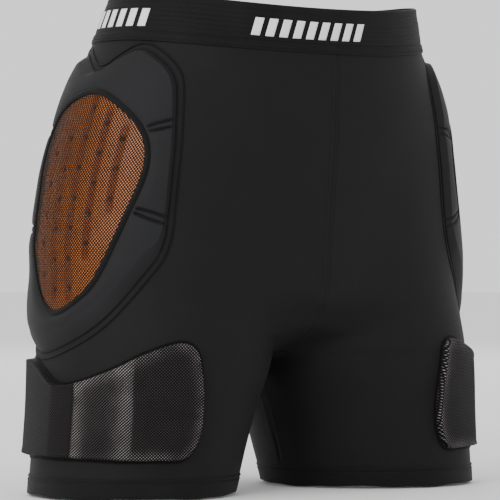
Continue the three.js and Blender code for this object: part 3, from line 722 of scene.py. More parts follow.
def cord_round(path, out, half_width, half_height, segments):
    """A flattened cord along a closed ring of places on the cloth."""
    along = np.roll(path, -1, axis=0) - np.roll(path, 1, axis=0)
    along /= np.linalg.norm(along, axis=1)[:, None]
    beside = np.cross(out, along)
    beside /= np.linalg.norm(beside, axis=1)[:, None]
    run = run_along(path) / MM
    girth = 2 * (half_width + half_height)

    def place(column, row):
        i = column % len(path)
        turn = row / segments * 2 * math.pi
        spot = path[i] + beside[i] * (np.cos(turn) * half_width)[:, None] * MM
        spot = spot + out[i] * (np.sin(turn) * half_height)[:, None] * MM
        return spot, np.stack([run[i], row / segments * girth], axis=1), ()

    return weld(grid(len(path), segments, place))


def stitched(path, out, pitch, stitch, width):
    """A row of stitches along places on the cloth, as one mesh of small rounded threads."""
    run = run_along(path) / MM
    centres = np.arange(pitch / 2, run[-1], pitch)
    bm = bmesh.new()
    for centre in centres:
        spot, ahead, normal = (Vector([np.interp(at, run, values[:, k]) for k in range(3)])
                               for at, values in ((centre, path), (centre + pitch / 4, path), (centre, out)))
        along = (ahead - spot).normalized()
        normal = (normal - along * normal.dot(along)).normalized()
        turn = Matrix((along, normal.cross(along), normal)).transposed().to_4x4()
        size = Matrix.Diagonal((stitch / 2 * MM, width * MM, width * 0.8 * MM, 1))
        at = Matrix.Translation(spot + normal * STITCH_LIFT * MM)
        bmesh.ops.create_icosphere(bm, subdivisions=1, radius=1.0, matrix=at @ turn @ size)
    for face in bm.faces:
        face.smooth = True
    mesh = bpy.data.meshes.new("stitches")
    bm.to_mesh(mesh)
    bm.free()
    mesh.uv_layers.new(name="pattern")
    return mesh


def round_loop(lay, loop, offset, count, height):
    """Places and outward directions along a loop on the pattern that is grown by an offset."""
    points = evenly(grown(loop, offset), count)
    return lay(points[:, 0], points[:, 1], height)


def cord_on(place, *section):
    """A cord along the loop that place describes, with this section."""
    return cord_round(*round_loop(*place), *section)


def stitches_on(place, pitch, stitch, width):
    """Stitches all round the loop that place describes."""
    return stitched(*(closed_row(values) for values in round_loop(*place)), pitch, stitch, width)


# ---- body fabric ----

def folds(around, depth, to_seam):
    """Slight folds of the cloth on the body: fanning from the crotch, and upright ones above the hem."""
    rise = form().rise
    x, y = to_seam / 60.0, (depth - rise + 6) / 46.0
    near = np.exp(-(x * x + y * y))
    fan = np.sin(np.arctan2(depth - rise + 30, to_seam + 26) * 9.0)
    low = bump(depth - (form().length - 34), 16) * np.sin(around / 9.0) * 0.28
    return 0.9 * near * fan + low


class SHORTS_OT_body_fabric(Operator):
    """The stretch fabric of both halves, each one sheet from the waistband to the hem and from the centre
    front round to the centre back"""

    bl_idname = "shorts.body_fabric"
    bl_label = "Body fabric"

    COLUMNS = 250
    ROWS = 150
    UNDER = 6.0             # how far the sheet reaches under the waistband and the hem
    LAP = 0.3               # how far each half reaches past the centre seam
    CENTRE_GAP = 0.00008    # the least distance from the centre plane, in metres, before the lap
    SEAM_GROOVE = 0.55
    SEAM_RIDGE = 0.25
    LOWEST = 0.75
    PANELS = ("front", "back", "front_stretch", "back_stretch", "leg_front", "leg_back")
    TUCKED = 0.9            # the cloth's height under the waistband and the hem

    def half(self):
        f = form()
        fabric, band = f.mm["fabric"], f.mm["band_height"]
        hem = f.length - f.mm["hem_height"]
        top, foot = band - self.UNDER, hem + self.UNDER

        def place(column, row):
            turn = column / self.COLUMNS * 2 - 1
            depth = top + (foot - top) * row / self.ROWS
            front, back = f.to_front(depth), f.to_back(depth)
            ahead, behind = f.edges(depth)
            around = np.where(turn < 0, turn * ahead, turn * behind)
            trunk = depth < f.rise - f.ROW
            around = np.where(trunk, np.clip(around, -front, back), around)
            seam = np.maximum(np.minimum(around + front, back - around), 0)
            height = fabric + folds(around, depth, seam)
            height = height - self.SEAM_GROOVE * bump(seam, 1.6) + self.SEAM_RIDGE * bump(seam - 4.0, 2.0)
            tucked = smooth((band - depth) / 3.0) + smooth((depth - hem) / 3.0)
            height = np.maximum(height * (1 - tucked) + self.TUCKED * tucked, self.LOWEST)
            places, _ = f.at_side(around, depth, height)
            lap = self.LAP * MM * (1 - smooth(seam / 2))
            places[:, 0] = np.maximum(places[:, 0], self.CENTRE_GAP) - lap
            return places, on_pattern(around, depth), ()

        return weld(grid(self.COLUMNS, self.ROWS, place), distance=2e-5, thickness=-0.6 * MM)

    def execute(self, context):
        for side, obj in both("body_fabric", self.half(), "shell").items():
            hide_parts(*(f"{side}_{part}_panel" for part in self.PANELS))
            bend(obj)
        return {"FINISHED"}


# ---- waistband and hems ----

def rolled(profile):
    """Depths and heights of a closed profile given as a list of pairs."""
    return np.array(profile, float).T


def halfway(turn):
    """The share of the left half's ring for each share of the whole one, and which side it lies on."""
    return np.where(turn < 0.5, 2 * turn, 2 - 2 * turn), np.where(turn < 0.5, 1, -1)


def band_profile(height, thick):
    """The waistband's section: ribbed outside, with a pressed line above its lower edge, and rolled at
    the top."""
    depths = np.linspace(height - 0.8, 1.2, 96)
    ribs = thick + 0.16 * np.sin(depths * 2 * math.pi / 1.9)
    pressed = -0.55 * bump(depths - (height - 8.6), 0.8) + 0.3 * bump(depths - (height - 5.0), 3.0)
    outside = list(zip(depths, ribs + pressed + 0.35 * bump(depths - 1.8, 1.6)))
    top = [(0.45, thick - 0.1), (0.05, thick - 0.7), (0.0, 1.2), (0.1, 0.5), (0.5, 0.1)]
    inside = [(depth, 0.0) for depth in np.linspace(2.0, height - 1.5, 14)]
    foot = [(height - 0.4, 0.3), (height, 0.9), (height - 0.1, thick - 0.6), (height - 0.4, thick - 0.1)]
    return rolled(outside + top + inside + foot)


class SHORTS_OT_waistband(Operator):
    """The elastic waistband and the printed bars on it"""

    bl_idname = "shorts.waistband"
    bl_label = "Waistband"

    COLUMNS = 420
    GIRTH = 786.0
    THICK = 2.4
    WAVE = 0.3
    REPEATS = 4
    REPEAT_PITCH = 196.5
    BARS = 9
    BAR_PITCH = 12.4
    BAR_WIDTH = 7.6
    BAR_HEIGHT = 15.5
    BAR_SLANT = 4.0
    BAR_MIDDLE = 20.0
    BAR_HOLD = 2.78
    BAR_THICK = 0.35
    FIRST_CENTRE = 28.0     # of the first row of bars, from the centre front towards the right
    STITCH_ROWS = (34.5, 37.2)
    STITCH_HOLD = 2.75

    def band(self):
        f = form()
        tall = f.mm["band_height"]
        depths, heights = band_profile(tall, self.THICK)
        count = len(depths)

        def place(column, row):
            turn = column / self.COLUMNS
            share, side = halfway(turn)
            i = row % count
            wave = self.WAVE * np.sin(turn * 2 * math.pi * 5) * smooth(depths[i] / tall)
            places, _ = f.at_share(share, depths[i] + wave, heights[i])
            places[:, 0] *= side
            return places, on_pattern(turn * self.GIRTH, depths[i] + heights[i]), ()

        return weld(grid(self.COLUMNS, count, place))

    def on_front(self, right, depth):
        """A bar's place on the band by its distance from the centre front, towards the right being
        positive."""
        f = form()
        half = f.to_front(depth) + f.to_back(depth)
        right = (right + half) % (2 * half) - half
        places, _ = f.at_side(np.abs(right) - f.to_front(depth), depth, self.BAR_HOLD)
        places[:, 0] *= np.where(right > 0, -1, 1)
        return places

    def bars(self):
        made = []
        for repeat in range(self.REPEATS):
            centre = self.FIRST_CENTRE + repeat * self.REPEAT_PITCH
            for k in range(self.BARS):
                middle = centre + (k - (self.BARS - 1) / 2) * self.BAR_PITCH

                def place(column, row, middle=middle):
                    u, v = column / 5 - 0.5, row / 8 - 0.5
                    right = middle + u * self.BAR_WIDTH + v * self.BAR_SLANT
                    depth = self.BAR_MIDDLE + v * self.BAR_HEIGHT
                    return self.on_front(right, depth), on_pattern(right, depth), ()

                made.append(weld(grid(5, 8, place), thickness=self.BAR_THICK * MM))
        return joined(made)

    def execute(self, context):
        obj = piece("waistband_elastic", self.band(), "band")
        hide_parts("waistband")
        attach(obj, "hips")
        stripes = piece("waistband_stripes", self.bars(), "stripe")
        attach(stripes, "hips")
        lines = []
        share, side = halfway(np.linspace(0, 1, 401))
        for depth in self.STITCH_ROWS:
            path, out = form().at_share(share, np.full(len(share), depth), self.STITCH_HOLD)
            path[:, 0] *= side
            out[:, 0] *= side
            lines.append(stitched(path, out, pitch=3.2, stitch=2.2, width=0.28))
        seam = piece("waistband_stitches", joined(lines), "thread")
        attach(seam, "hips")
        return {"FINISHED"}


class SHORTS_OT_hems(Operator):
    """The folded hem of each leg, with two rows of stitches"""

    bl_idname = "shorts.hems"
    bl_label = "Hems"

    COLUMNS = 300
    GIRTH = 570.0
    THICK = 2.1
    STITCH_ROWS = (1.6, 4.4)        # below the hem's upper edge
    STITCH_HOLD = 2.15

    def stitches(self, depth):
        share = np.linspace(0, 1, 301)
        path, out = form().at_share(share, np.full(len(share), depth), self.STITCH_HOLD)
        return stitched(path, out, pitch=3.0, stitch=2.0, width=0.28)

    def section(self, tall):
        """The folded hem's section, from its lower edge upwards."""
        levels = np.linspace(0.6, tall - 0.6, 26)
        outside = self.THICK - 0.5 * bump(levels - (tall - 3.2), 0.9) - 0.35 * bump(levels - tall, 2.0)
        top = [(tall, self.THICK - 0.9), (tall, 0.5)]
        inside = [(level, 0.0) for level in np.linspace(tall - 1, 1, 9)]
        return rolled([*zip(levels, outside), *top, *inside, (0.0, 0.6), (0.1, self.THICK - 0.8)])

    def execute(self, context):
        f = form()
        tall, foot = f.mm["hem_height"], f.length
        levels, heights = self.section(tall)
        depths = foot - levels
        count = len(depths)

        def place(column, row):
            share, i = column / self.COLUMNS, row % count
            low = smooth((depths[i] - foot + 5) / 5)
            turn = share * 2 * math.pi
            wave = low * (0.7 * np.sin(turn * 5 + 0.7) + 0.3 * np.sin(turn * 13) - 1.1)
            places, _ = f.at_share(share, depths[i] + wave, heights[i] + 0.25 * np.sin(turn * 17) * low)
            return places, on_pattern(share * self.GIRTH, depths[i]), ()

        bands = both("hem_fold", weld(grid(self.COLUMNS, count, place)), "band")
        rows = [self.stitches(foot - tall + below) for below in self.STITCH_ROWS]
        threads = both("hem_stitches", joined(rows), "thread")
        for side, obj in bands.items():
            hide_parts(f"{side}_hem_band")
            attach(obj, f"{side}_leg")
            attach(threads[side], f"{side}_leg")
        return {"FINISHED"}


# ---- hip pads ----

HIP_TOP, HIP_FOOT = 48.0, 302.0
HIP_PAD = outline([
    (-1, HIP_TOP + 18), (-15, HIP_TOP + 17), (-28, HIP_TOP + 8), (-44, HIP_TOP), (-63, HIP_TOP + 7),
    (-83, HIP_TOP + 24), (-97, HIP_TOP + 66), (-105, HIP_FOOT - 126), (-103, HIP_FOOT - 88),
    (-85, HIP_FOOT - 62), (-54, HIP_FOOT - 27), (-19, HIP_FOOT - 8), (20, HIP_FOOT),
    (62, HIP_FOOT - 12), (85, HIP_FOOT - 52), (88, HIP_FOOT - 124), (80, HIP_TOP + 50),
    (58, HIP_TOP + 11), (31, HIP_TOP + 3), (13, HIP_TOP + 11),
])
WINDOW_HIGH, WINDOW_LOW = 86.0, 269.0
WINDOW = outline([
    (-20, WINDOW_HIGH), (-51, WINDOW_HIGH + 13), (-73, WINDOW_HIGH + 34), (-81, WINDOW_HIGH + 60),
    (-72, WINDOW_LOW - 81), (-57, WINDOW_LOW - 43), (-38, WINDOW_LOW - 15), (-8, WINDOW_LOW),
    (17, WINDOW_LOW - 16), (29, WINDOW_LOW - 50), (32, WINDOW_LOW - 103), (35, WINDOW_HIGH + 42),
    (20, WINDOW_HIGH + 14),
])
HIP_CENTRE = np.array([-22.0, 178.0])
HIP_GROOVES = [((-76, 115), (-103, 106)), ((-80, 184), (-112, 195)), ((30, 118), (96, 112)),
               ((28, 196), (98, 204))]
GROOVE_BOW = 0.9
LOOP = 640


def by_angle(loop):
    """The loop again, with a point in each of many even directions from the hip pad's centre."""
    off = loop - HIP_CENTRE
    angle = np.unwrap(np.arctan2(off[:, 1], off[:, 0]))
    if angle[-1] < angle[0]:
        angle, off = angle[::-1], off[::-1]
    whole = 2 * math.pi
    wanted = angle[0] + (np.linspace(0, whole, LOOP, endpoint=False) - angle[0]) % whole
    reach = np.append(np.hypot(*off.T), np.hypot(*off[0]))
    reach = np.interp(wanted, np.append(angle, angle[0] + whole), reach)
    return HIP_CENTRE + np.stack([np.cos(wanted), np.sin(wanted)], axis=1) * reach[:, None]


def hip_height(points, to_edge, to_window, slope, top):
    """How high the hip pad's cover stands: a sloped side, a crowned top pinched at the window, and grooves.
    The top is fuller towards the foot."""
    side = PAD_BASE + (top - 1.6) * np.clip(to_edge / slope, 0, 1) ** 0.85
    crown = 0.9 * smooth((to_edge - slope) / 14) * smooth(to_window / 12)
    pinch = 1.3 * bump(to_window, 3.2)
    full = 1.6 * smooth((points[:, 1] - HIP_FOOT + 80) / 45)
    full = full * smooth((to_edge - slope) / 10) * smooth(to_window / 8)
    shoulder = 0.35 * bump(to_edge - slope, 2.2)
    height = side + crown - pinch + full - shoulder
    for start, end in HIP_GROOVES:
        off, along = to_line(points, start, end)
        reach = math.dist(start, end)
        here = smooth((along + 5) / 4) * smooth((reach + 2 - along) / 4) * smooth((to_window - 3.5) / 4)
        spread = 2.1 + GROOVE_BOW * np.sin(along / reach * math.pi)
        cut = 3.3 * (bump(off - spread, 0.95) + bump(off + spread, 0.95)) + 1.1 * bump(off, 6.0)
        height = height - here * cut
    return np.maximum(height, PAD_LOWEST)


class SHORTS_OT_hip_pads(Operator):
    """The padded hip cover with its bevelled edge and grooves, its binding, outer seam and stitches"""

    bl_idname = "shorts.hip_pads"
    bl_label = "Hip pads"

    SIDE = (0.0, 0.04, 0.12, 0.3, 0.5, 0.7, 0.86, 0.95, 1.03, 1.12, 1.3)
    NEAR_WINDOW = (7.0, 5.5, 4.2, 3.2, 2.3, 1.5, 0.8, 0.3, 0.0)
    MIDDLE = 14
    UNDERSIDE = (0.0, 0.33, 0.67, 1.0)
    FOAMS = ("front_upper", "front_middle", "front_lower", "back_upper", "back_lower")
    # each trim's name, its loop, distance outside it, points and height, then its cord's half width, half
    # height and number of sides
    TRIMS = (
        ("hip_window_tape", WINDOW, 0.4, 420, 7.35, 2.5, 1.25, 12),
        ("hip_pad_edge_welt", HIP_PAD, 0.3, 500, 1.45, 0.8, 0.45, 6),
        ("hip_outer_seam", HIP_PAD, 5.8, 500, 1.45, 0.9, 0.45, 6),
    )
    # each row of stitches: its loop, distance outside it, points and height, then pitch, length and width
    STITCHES = (
        (HIP_PAD, 1.9, 500, PAD_BASE, 2.8, 1.8, 0.25),
        (HIP_PAD, 7.6, 500, PAD_BASE, 2.8, 1.8, 0.25),
        (WINDOW, 0.6, 400, 8.62, 2.6, 1.7, 0.25),
    )

    def slopes(self, outer):
        """How wide the cover's sloped side is: narrow in front, wider below and behind the top."""
        round_it, down = outer.T
        low = 6.8 * smooth((down - 186) / 22) * smooth((round_it + 104) / 12 + 0.35)
        return 3.2 + low + 5.0 * smooth((86 - down) / 24) * smooth((round_it + 10) / 14)

    def cover(self):
        f = form()
        outer, inner = by_angle(HIP_PAD), by_angle(WINDOW)
        into, onto = inward(outer), inward(inner)
        slope = self.slopes(outer)
        rings = [outer + into * (slope * share)[:, None] for share in self.SIDE]
        last = inner - onto * self.NEAR_WINDOW[0]
        rings += [rings[-1] + (last - rings[-1]) * k / self.MIDDLE for k in range(1, self.MIDDLE)]
        rings += [inner - onto * distance for distance in self.NEAR_WINDOW]
        top_rows = len(rings)
        rings += [inner + (outer - inner) * share for share in self.UNDERSIDE]
        points = np.stack(rings)
        flat = points.reshape(-1, 2)
        wide = np.tile(slope, len(rings))
        height = hip_height(flat, distance_to(flat, HIP_PAD), distance_to(flat, WINDOW), wide,
                            f.mm["pad_height"]).reshape(len(rings), LOOP)
        height[top_rows:] = PAD_BASE
        height[top_rows] = 1.9
        places, _ = f.at_side(flat[:, 0], flat[:, 1], height.ravel())
        places = places.reshape(len(rings), LOOP, 3)

        def place(column, row):
            i, j = row % len(rings), column % LOOP
            return places[i, j], on_pattern(points[i, j, 0], points[i, j, 1]), ()

        return weld(grid(LOOP, len(rings), place))

    def execute(self, context):
        lay = form().at_side
        covers = both("hip_pad_cloth", self.cover(), "pad")
        trims = []
        for name, loop, offset, count, height, *section in self.TRIMS:
            mesh = cord_on((lay, loop, offset, count, height), *section)
            trims.append(both(name, mesh, "tape"))
        rows = [stitches_on((lay, *row[:4]), *row[4:]) for row in self.STITCHES]
        threads = both("hip_pad_stitches", joined(rows), "thread")
        for side, obj in covers.items():
            foams = (f"{side}_hip_pad_foam_{part}" for part in self.FOAMS)
            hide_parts(f"{side}_hip_pad_cover", *foams)
            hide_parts(f"{side}_hip_pad_window_binding")
            for part in (obj, *(trim[side] for trim in trims), threads[side]):
                bend(part)
        return {"FINISHED"}


# each channel's place round the body, the depth of its first hole and its number of holes
CHANNELS = [(-57, 124, 3), (-40, 111, 5), (-23, 98, 7), (-6, 124, 6), (11, 136, 5), (27, 150, 3)]
HOLE_PITCH = 25.0
CHANNEL_END = 16.0          # how far a channel goes on past its last hole


def core_marks(around, depth):
    """Masks, from 0 to 1, of the core's channels and of the vent holes in them."""
    channel, hole = np.zeros_like(around), np.zeros_like(around)
    for across, first, count in CHANNELS:
        last = first + (count - 1) * HOLE_PITCH
        within = smooth((depth - first + CHANNEL_END) / 10) * smooth((last + CHANNEL_END - depth) / 10)
        channel = np.maximum(channel, within * (1 - smooth((np.abs(around - across) - 2.2) / 1.9)))
        step = np.clip(np.rint((depth - first) / HOLE_PITCH), 0, count - 1)
        off = np.hypot(around - across, depth - first - step * HOLE_PITCH)
        hole = np.maximum(hole, 1 - smooth((off - 1.5) / 1.5))
    return channel, hole


class SHORTS_OT_hip_windows(Operator):
    """The ribbed orange core of each hip pad and the black net over it"""

    bl_idname = "shorts.hip_windows"
    bl_label = "Hip windows"

    STEP = 1.0
    CORE_HEIGHT = 6.4
    CORE_EDGE = 2.2
    CORE_THICK = 1.2
    CHANNEL_DEPTH = 0.6
    HOLE_DEPTH = 1.2
    NET_PITCH = 1.9
    NET_HEIGHT = 7.05
    NET_STRETCH = (0.93, 1.12, 1)
    CORD_WIDTH = 0.80
    CORD_DEPTH = 0.45

    def dome(self, edge):
        """How much higher the core and net stand, away from their edge."""
        return 0.7 * smooth(edge / 25)

    def core(self):
        f = form()
        rim = grown(WINDOW, 3.0)
        low, high = rim.min(axis=0), rim.max(axis=0)
        across, down = (int(round(x)) for x in (high - low) / self.STEP)

        def place(column, row):
            depth = low[1] + (high[1] - low[1]) * row / down
            left, right = limits(rim, depth, 1)
            around = left + (right - left) * column / across
            channel, hole = core_marks(around, depth)
            edge = distance_to(np.stack([around, depth], axis=1), rim)
            height = self.CORE_HEIGHT + self.dome(edge)
            height = height - self.CHANNEL_DEPTH * channel - self.HOLE_DEPTH * hole
            height = np.where(edge < 0.8, self.CORE_EDGE, height)
            places, _ = f.at_side(around, depth, height)
            return places, on_pattern(around, depth), (channel, hole)

        mesh = grid(across, down, place, ("channel", "hole"))
        return weld(mesh, distance=1e-5, thickness=-self.CORE_THICK * MM)

    def net(self):
        low, high = WINDOW.min(axis=0) - 2, WINDOW.max(axis=0) + 2
        centre = (low + high) / 2
        cells = int(float(np.hypot(*(high - low))) / self.NET_PITCH)
        slant = Matrix.Rotation(math.radians(45), 3, "Z")
        bm = bmesh.new()
        bmesh.ops.create_grid(bm, x_segments=cells, y_segments=cells, size=cells * self.NET_PITCH / 2)
        bmesh.ops.rotate(bm, verts=bm.verts[:], cent=(0, 0, 0), matrix=slant)
        bmesh.ops.scale(bm, verts=bm.verts[:], vec=self.NET_STRETCH)
        bmesh.ops.translate(bm, verts=bm.verts[:], vec=(*centre, 0))
        spots = np.array([face.calc_center_median()[:2] for face in bm.faces])
        inside = self.within(spots, grown(WINDOW, 0.8))
        gone = [face for face, kept in zip(bm.faces[:], inside) if not kept]
        bmesh.ops.delete(bm, geom=gone, context="FACES")
        bmesh.ops.wireframe(bm, faces=bm.faces[:], thickness=self.CORD_WIDTH, offset=0.0, use_replace=True,
                            use_boundary=True, use_even_offset=True)
        flat = np.array([v.co for v in bm.verts], float)
        level = np.clip(flat[:, 2] / max(np.abs(flat[:, 2]).max(), 1e-9), -1, 1)
        height = self.NET_HEIGHT + self.dome(distance_to(flat[:, :2], WINDOW)) + level * self.CORD_DEPTH / 2
        places, _ = form().at_side(flat[:, 0], flat[:, 1], height)
        for vert, spot in zip(bm.verts, places):
            vert.co = spot
        bmesh.ops.recalc_face_normals(bm, faces=bm.faces[:])
        for face in bm.faces:
            face.smooth = True
        mesh = bpy.data.meshes.new("net")
        bm.to_mesh(mesh)
        bm.free()
        mesh.uv_layers.new(name="pattern")
        return mesh

    @staticmethod
    def within(points, loop):
        """Whether each point lies inside a loop."""
        x, y = points[:, 0], points[:, 1]
        inside = np.zeros(len(points), bool)
        for (ax, ay), (bx, by) in zip(loop, np.roll(loop, -1, axis=0)):
            if ay != by:
                inside ^= ((ay > y) != (by > y)) & (x < (bx - ax) * (y - ay) / (by - ay) + ax)
        return inside

    def execute(self, context):
        for side, obj in both("hip_core", self.core(), "core").items():
            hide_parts(f"{side}_hip_pad_core")
            bend(obj)
        for side, obj in both("hip_window_net", self.net(), "net").items():
            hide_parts(f"{side}_hip_pad_window")
            bend(obj)
        return {"FINISHED"}


# ---- pads made of columns ----

def eased(count):
    """Shares from 0 to 1 that lie closer together towards both ends."""
    t = np.linspace(0, 1, count + 1)
    return 0.42 * t + 0.58 * (0.5 - 0.5 * np.cos(math.pi * t))


def pillow(loop, columns, rows, lay, height, masks=(), marks=None):
    """A closed pad over a loop on the pattern: a shaped top over a plain underside."""
    low, high = loop[:, 0].min(), loop[:, 0].max()
    across = low + (high - low) * columns
    top, foot = limits(loop, across, 0)
    halves = []
    for upper in (True, False):
        def place(column, row, upper=upper):
            around = across[column]
            depth = top[column] + (foot[column] - top[column]) * rows[row]
            points = np.stack([around, depth], axis=1)
            edge = distance_to(points, loop)
            inner = (row > 0) & (row < len(rows) - 1) & (column > 0) & (column < len(columns) - 1)
            lift = np.where(inner & upper, height(points, edge), PAD_BASE)
            places, _ = lay(around, depth, lift)
            found = marks(points, edge) if marks else ()
            return places, on_pattern(around, depth), found

        halves.append(grid(len(columns) - 1, len(rows) - 1, place, masks))
    return weld(joined(halves), distance=2e-5)


THIGH_TOP, THIGH_FOOT = 291.0, 393.0
THIGH_PAD = outline([
    (-124, THIGH_TOP), (-137, THIGH_TOP + 6), (-144, THIGH_TOP + 28), (-146, THIGH_TOP + 58),
    (-143, THIGH_FOOT - 18), (-132, THIGH_FOOT - 2), (-107, THIGH_FOOT), (-85, THIGH_FOOT),
    (-37, THIGH_FOOT - 1), (12, THIGH_FOOT - 1), (58, THIGH_FOOT - 2), (68, THIGH_FOOT - 12),
    (70, THIGH_FOOT - 45), (65, THIGH_TOP + 20), (41, THIGH_TOP + 15), (14, THIGH_TOP + 23),
    (-13, THIGH_TOP + 35), (-34, THIGH_TOP + 33), (-68, THIGH_TOP + 21), (-95, THIGH_TOP + 8),
])
THIGH_CREASES = (-86.0, -36.0)
THIGH_FLANGE = 2.0
THIGH_FLANGE_HEIGHT = 1.75
THIGH_HEIGHT = 8.9
THIGH_RADIUS = 100.0
THIGH_FLATNESS = 0.62       # 0 where the blocks follow the leg, 1 where they are flat


def thigh_flatness(around):
    """How much lower each block's middle lies, so that the three blocks are flat between their creases."""
    limits = (-150.0, *THIGH_CREASES, 74.0)
    sag = np.zeros_like(around)
    for low, high in zip(limits[:-1], limits[1:]):
        here = (around > low) & (around < high)
        half = min(high - low, 62.0) / 2
        chord = np.clip(half ** 2 - (around - (low + high) / 2) ** 2, 0, None)
        sag = np.where(here, chord / (2 * THIGH_RADIUS), sag)
    return sag


def thigh_height(points, edge):
    around = points[:, 0]
    rise = smooth((edge - THIGH_FLANGE) / 1.9)
    top = THIGH_HEIGHT - THIGH_FLATNESS * thigh_flatness(around)
    height = THIGH_FLANGE_HEIGHT + (top - THIGH_FLANGE_HEIGHT) * rise
    height = height + 0.5 * rise * bump(edge - THIGH_FLANGE - 2.6, 1.6)
    for crease in THIGH_CREASES:
        height = height - 1.15 * rise * bump(around - crease, 0.85)
    return np.maximum(height, 1.6)


def thigh_marks(points, edge):
    """Masks, from 0 to 1, of the knit's painted glints, of the flange and of the middle block."""
    around, depth = points.T
    front_crease, back_crease = THIGH_CREASES
    middle = (smooth((around - front_crease + 1) / 2) - smooth((around - back_crease + 1) / 2))
    front = 1 - smooth((around - front_crease + 1) / 2)
    near_edge = bump(edge - THIGH_FLANGE - 1.5, 6.0)
    high = 1 - smooth((depth - THIGH_TOP - 30) / 50)
    beside = bump(around - front_crease - 4, 10.0) + bump(around - back_crease + 3, 6.0)
    # painted glints: on the middle block beside the creases and along the upper edge, and on the front block
    # along its edge
    painted_glint_mask = middle * (0.10 + 0.6 * beside + 0.9 * near_edge * high) + front * (0.07 + 0.75 * near_edge)
    flange = 1 - smooth((edge - THIGH_FLANGE - 0.2) / 1.0)
    return np.clip(painted_glint_mask, 0, 1), flange, middle


class SHORTS_OT_thigh_pads(Operator):
    """The thigh pads: three flat blocks under one cover, with a stitched flange"""

    bl_idname = "shorts.thigh_pads"
    bl_label = "Thigh pads"

    def columns(self):
        """Columns close together at the ends, with one on each crease and others beside it."""
        low, high = THIGH_PAD[:, 0].min(), THIGH_PAD[:, 0].max()
        even = low + (high - low) * eased(150)
        extra = [crease + off for crease in THIGH_CREASES for off in (-1.2, -0.6, 0.0, 0.6, 1.2)]
        clear = [x for x in even if min(abs(x - crease) for crease in THIGH_CREASES) > 1.7]
        return (np.sort(np.array(clear + extra)) - low) / (high - low)

    def execute(self, context):
        lay = form().at_side
        mesh = pillow(THIGH_PAD, self.columns(), eased(84), lay, thigh_height,
                      ("painted_glint_mask", "flange", "middle"), thigh_marks)
        row = stitches_on((lay, THIGH_PAD, -1.0, 420, THIGH_FLANGE_HEIGHT), 2.8, 1.8, 0.26)
        threads = both("thigh_pad_stitches", row, "thread")
        for side, obj in both("thigh_pad_cloth", mesh, "thigh").items():
            foams = (f"{side}_thigh_pad_foam_{part}" for part in ("front", "middle", "back"))
            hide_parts(f"{side}_thigh_pad_cover", *foams)
            bend(obj)
            bend(threads[side])
        return {"FINISHED"}


TAIL_TOP, TAIL_FOOT = 70.0, 220.0
TAIL_PAD = outline([
    (0, TAIL_TOP), (32, TAIL_TOP + 3), (58, TAIL_TOP + 18), (64, TAIL_TOP + 45), (56, TAIL_TOP + 85),
    (36, TAIL_FOOT - 22), (14, TAIL_FOOT - 3), (0, TAIL_FOOT), (-14, TAIL_FOOT - 3), (-36, TAIL_FOOT - 22),
    (-56, TAIL_TOP + 85), (-64, TAIL_TOP + 45), (-58, TAIL_TOP + 18), (-32, TAIL_TOP + 3),
])
TAIL_GROOVES = [((-70, 132), (70, 132)), ((-21, 60), (-21, 205)), ((21, 60), (21, 205)),
                ((-70, 174), (70, 174))]


def tail_height(points, edge):
    height = 1.5 + 6.1 * smooth(edge / 5.0) + 0.5 * smooth((edge - 5) / 15)
    for start, end in TAIL_GROOVES:
        off, _ = to_line(points, start, end)
        height = height - (3.2 * bump(off, 1.3) + 1.5 * bump(off, 5.0)) * smooth((edge - 1) / 3)
    return np.maximum(height, PAD_LOWEST)


class SHORTS_OT_tail_pad(Operator):
    """The quilted tail pad over the tailbone"""

    bl_idname = "shorts.tail_pad"
    bl_label = "Tail pad"

    def execute(self, context):
        lay = form().at_back
        obj = piece("tail_pad_cloth", pillow(TAIL_PAD, eased(110), eased(120), lay, tail_height),
                    "pad")
        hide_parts("tail_pad_cover", "tail_pad_foam_upper", "tail_pad_foam_lower")
        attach(obj, "hips")
        cord = cord_on((lay, TAIL_PAD, 0.4, 360, 1.5), 0.9, 0.5, 6)
        welt = piece("tail_pad_edge_welt", cord, "tape")
        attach(welt, "hips")
        row = stitches_on((lay, TAIL_PAD, 2.2, 360, PAD_BASE), 2.8, 1.8, 0.25)
        threads = piece("tail_pad_stitches", row, "thread")
        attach(threads, "hips")
        return {"FINISHED"}


# ---- seams of the body ----

class SHORTS_OT_body_seams(Operator):
    """The rows of stitches beside the centre seams and beside the seam inside each leg"""

    bl_idname = "shorts.body_seams"
    bl_label = "Body seams"

    BESIDE = 4.0            # between a seam and its row of stitches
    HOLD = 1.45

    def row(self, front, top, foot):
        """A stitched line beside the seam in front or at the back."""
        f = form()
        depth = np.linspace(top, foot, 160)
        around = self.BESIDE - f.to_front(depth) if front else f.to_back(depth) - self.BESIDE
        return stitched(*f.at_side(around, depth, self.HOLD), pitch=3.0, stitch=2.0, width=0.25)

    def execute(self, context):
        f = form()
        trunk = f.mm["band_height"] + 2, f.rise - 34
        leg = f.rise + 8, f.length - f.mm["hem_height"] - 2
        rows = [self.row(front, *span) for span in (trunk, leg) for front in (True, False)]
        for side, obj in both("body_stitches", joined(rows), "thread").items():
            bend(obj)
        return {"FINISHED"}


# ---- stage ----

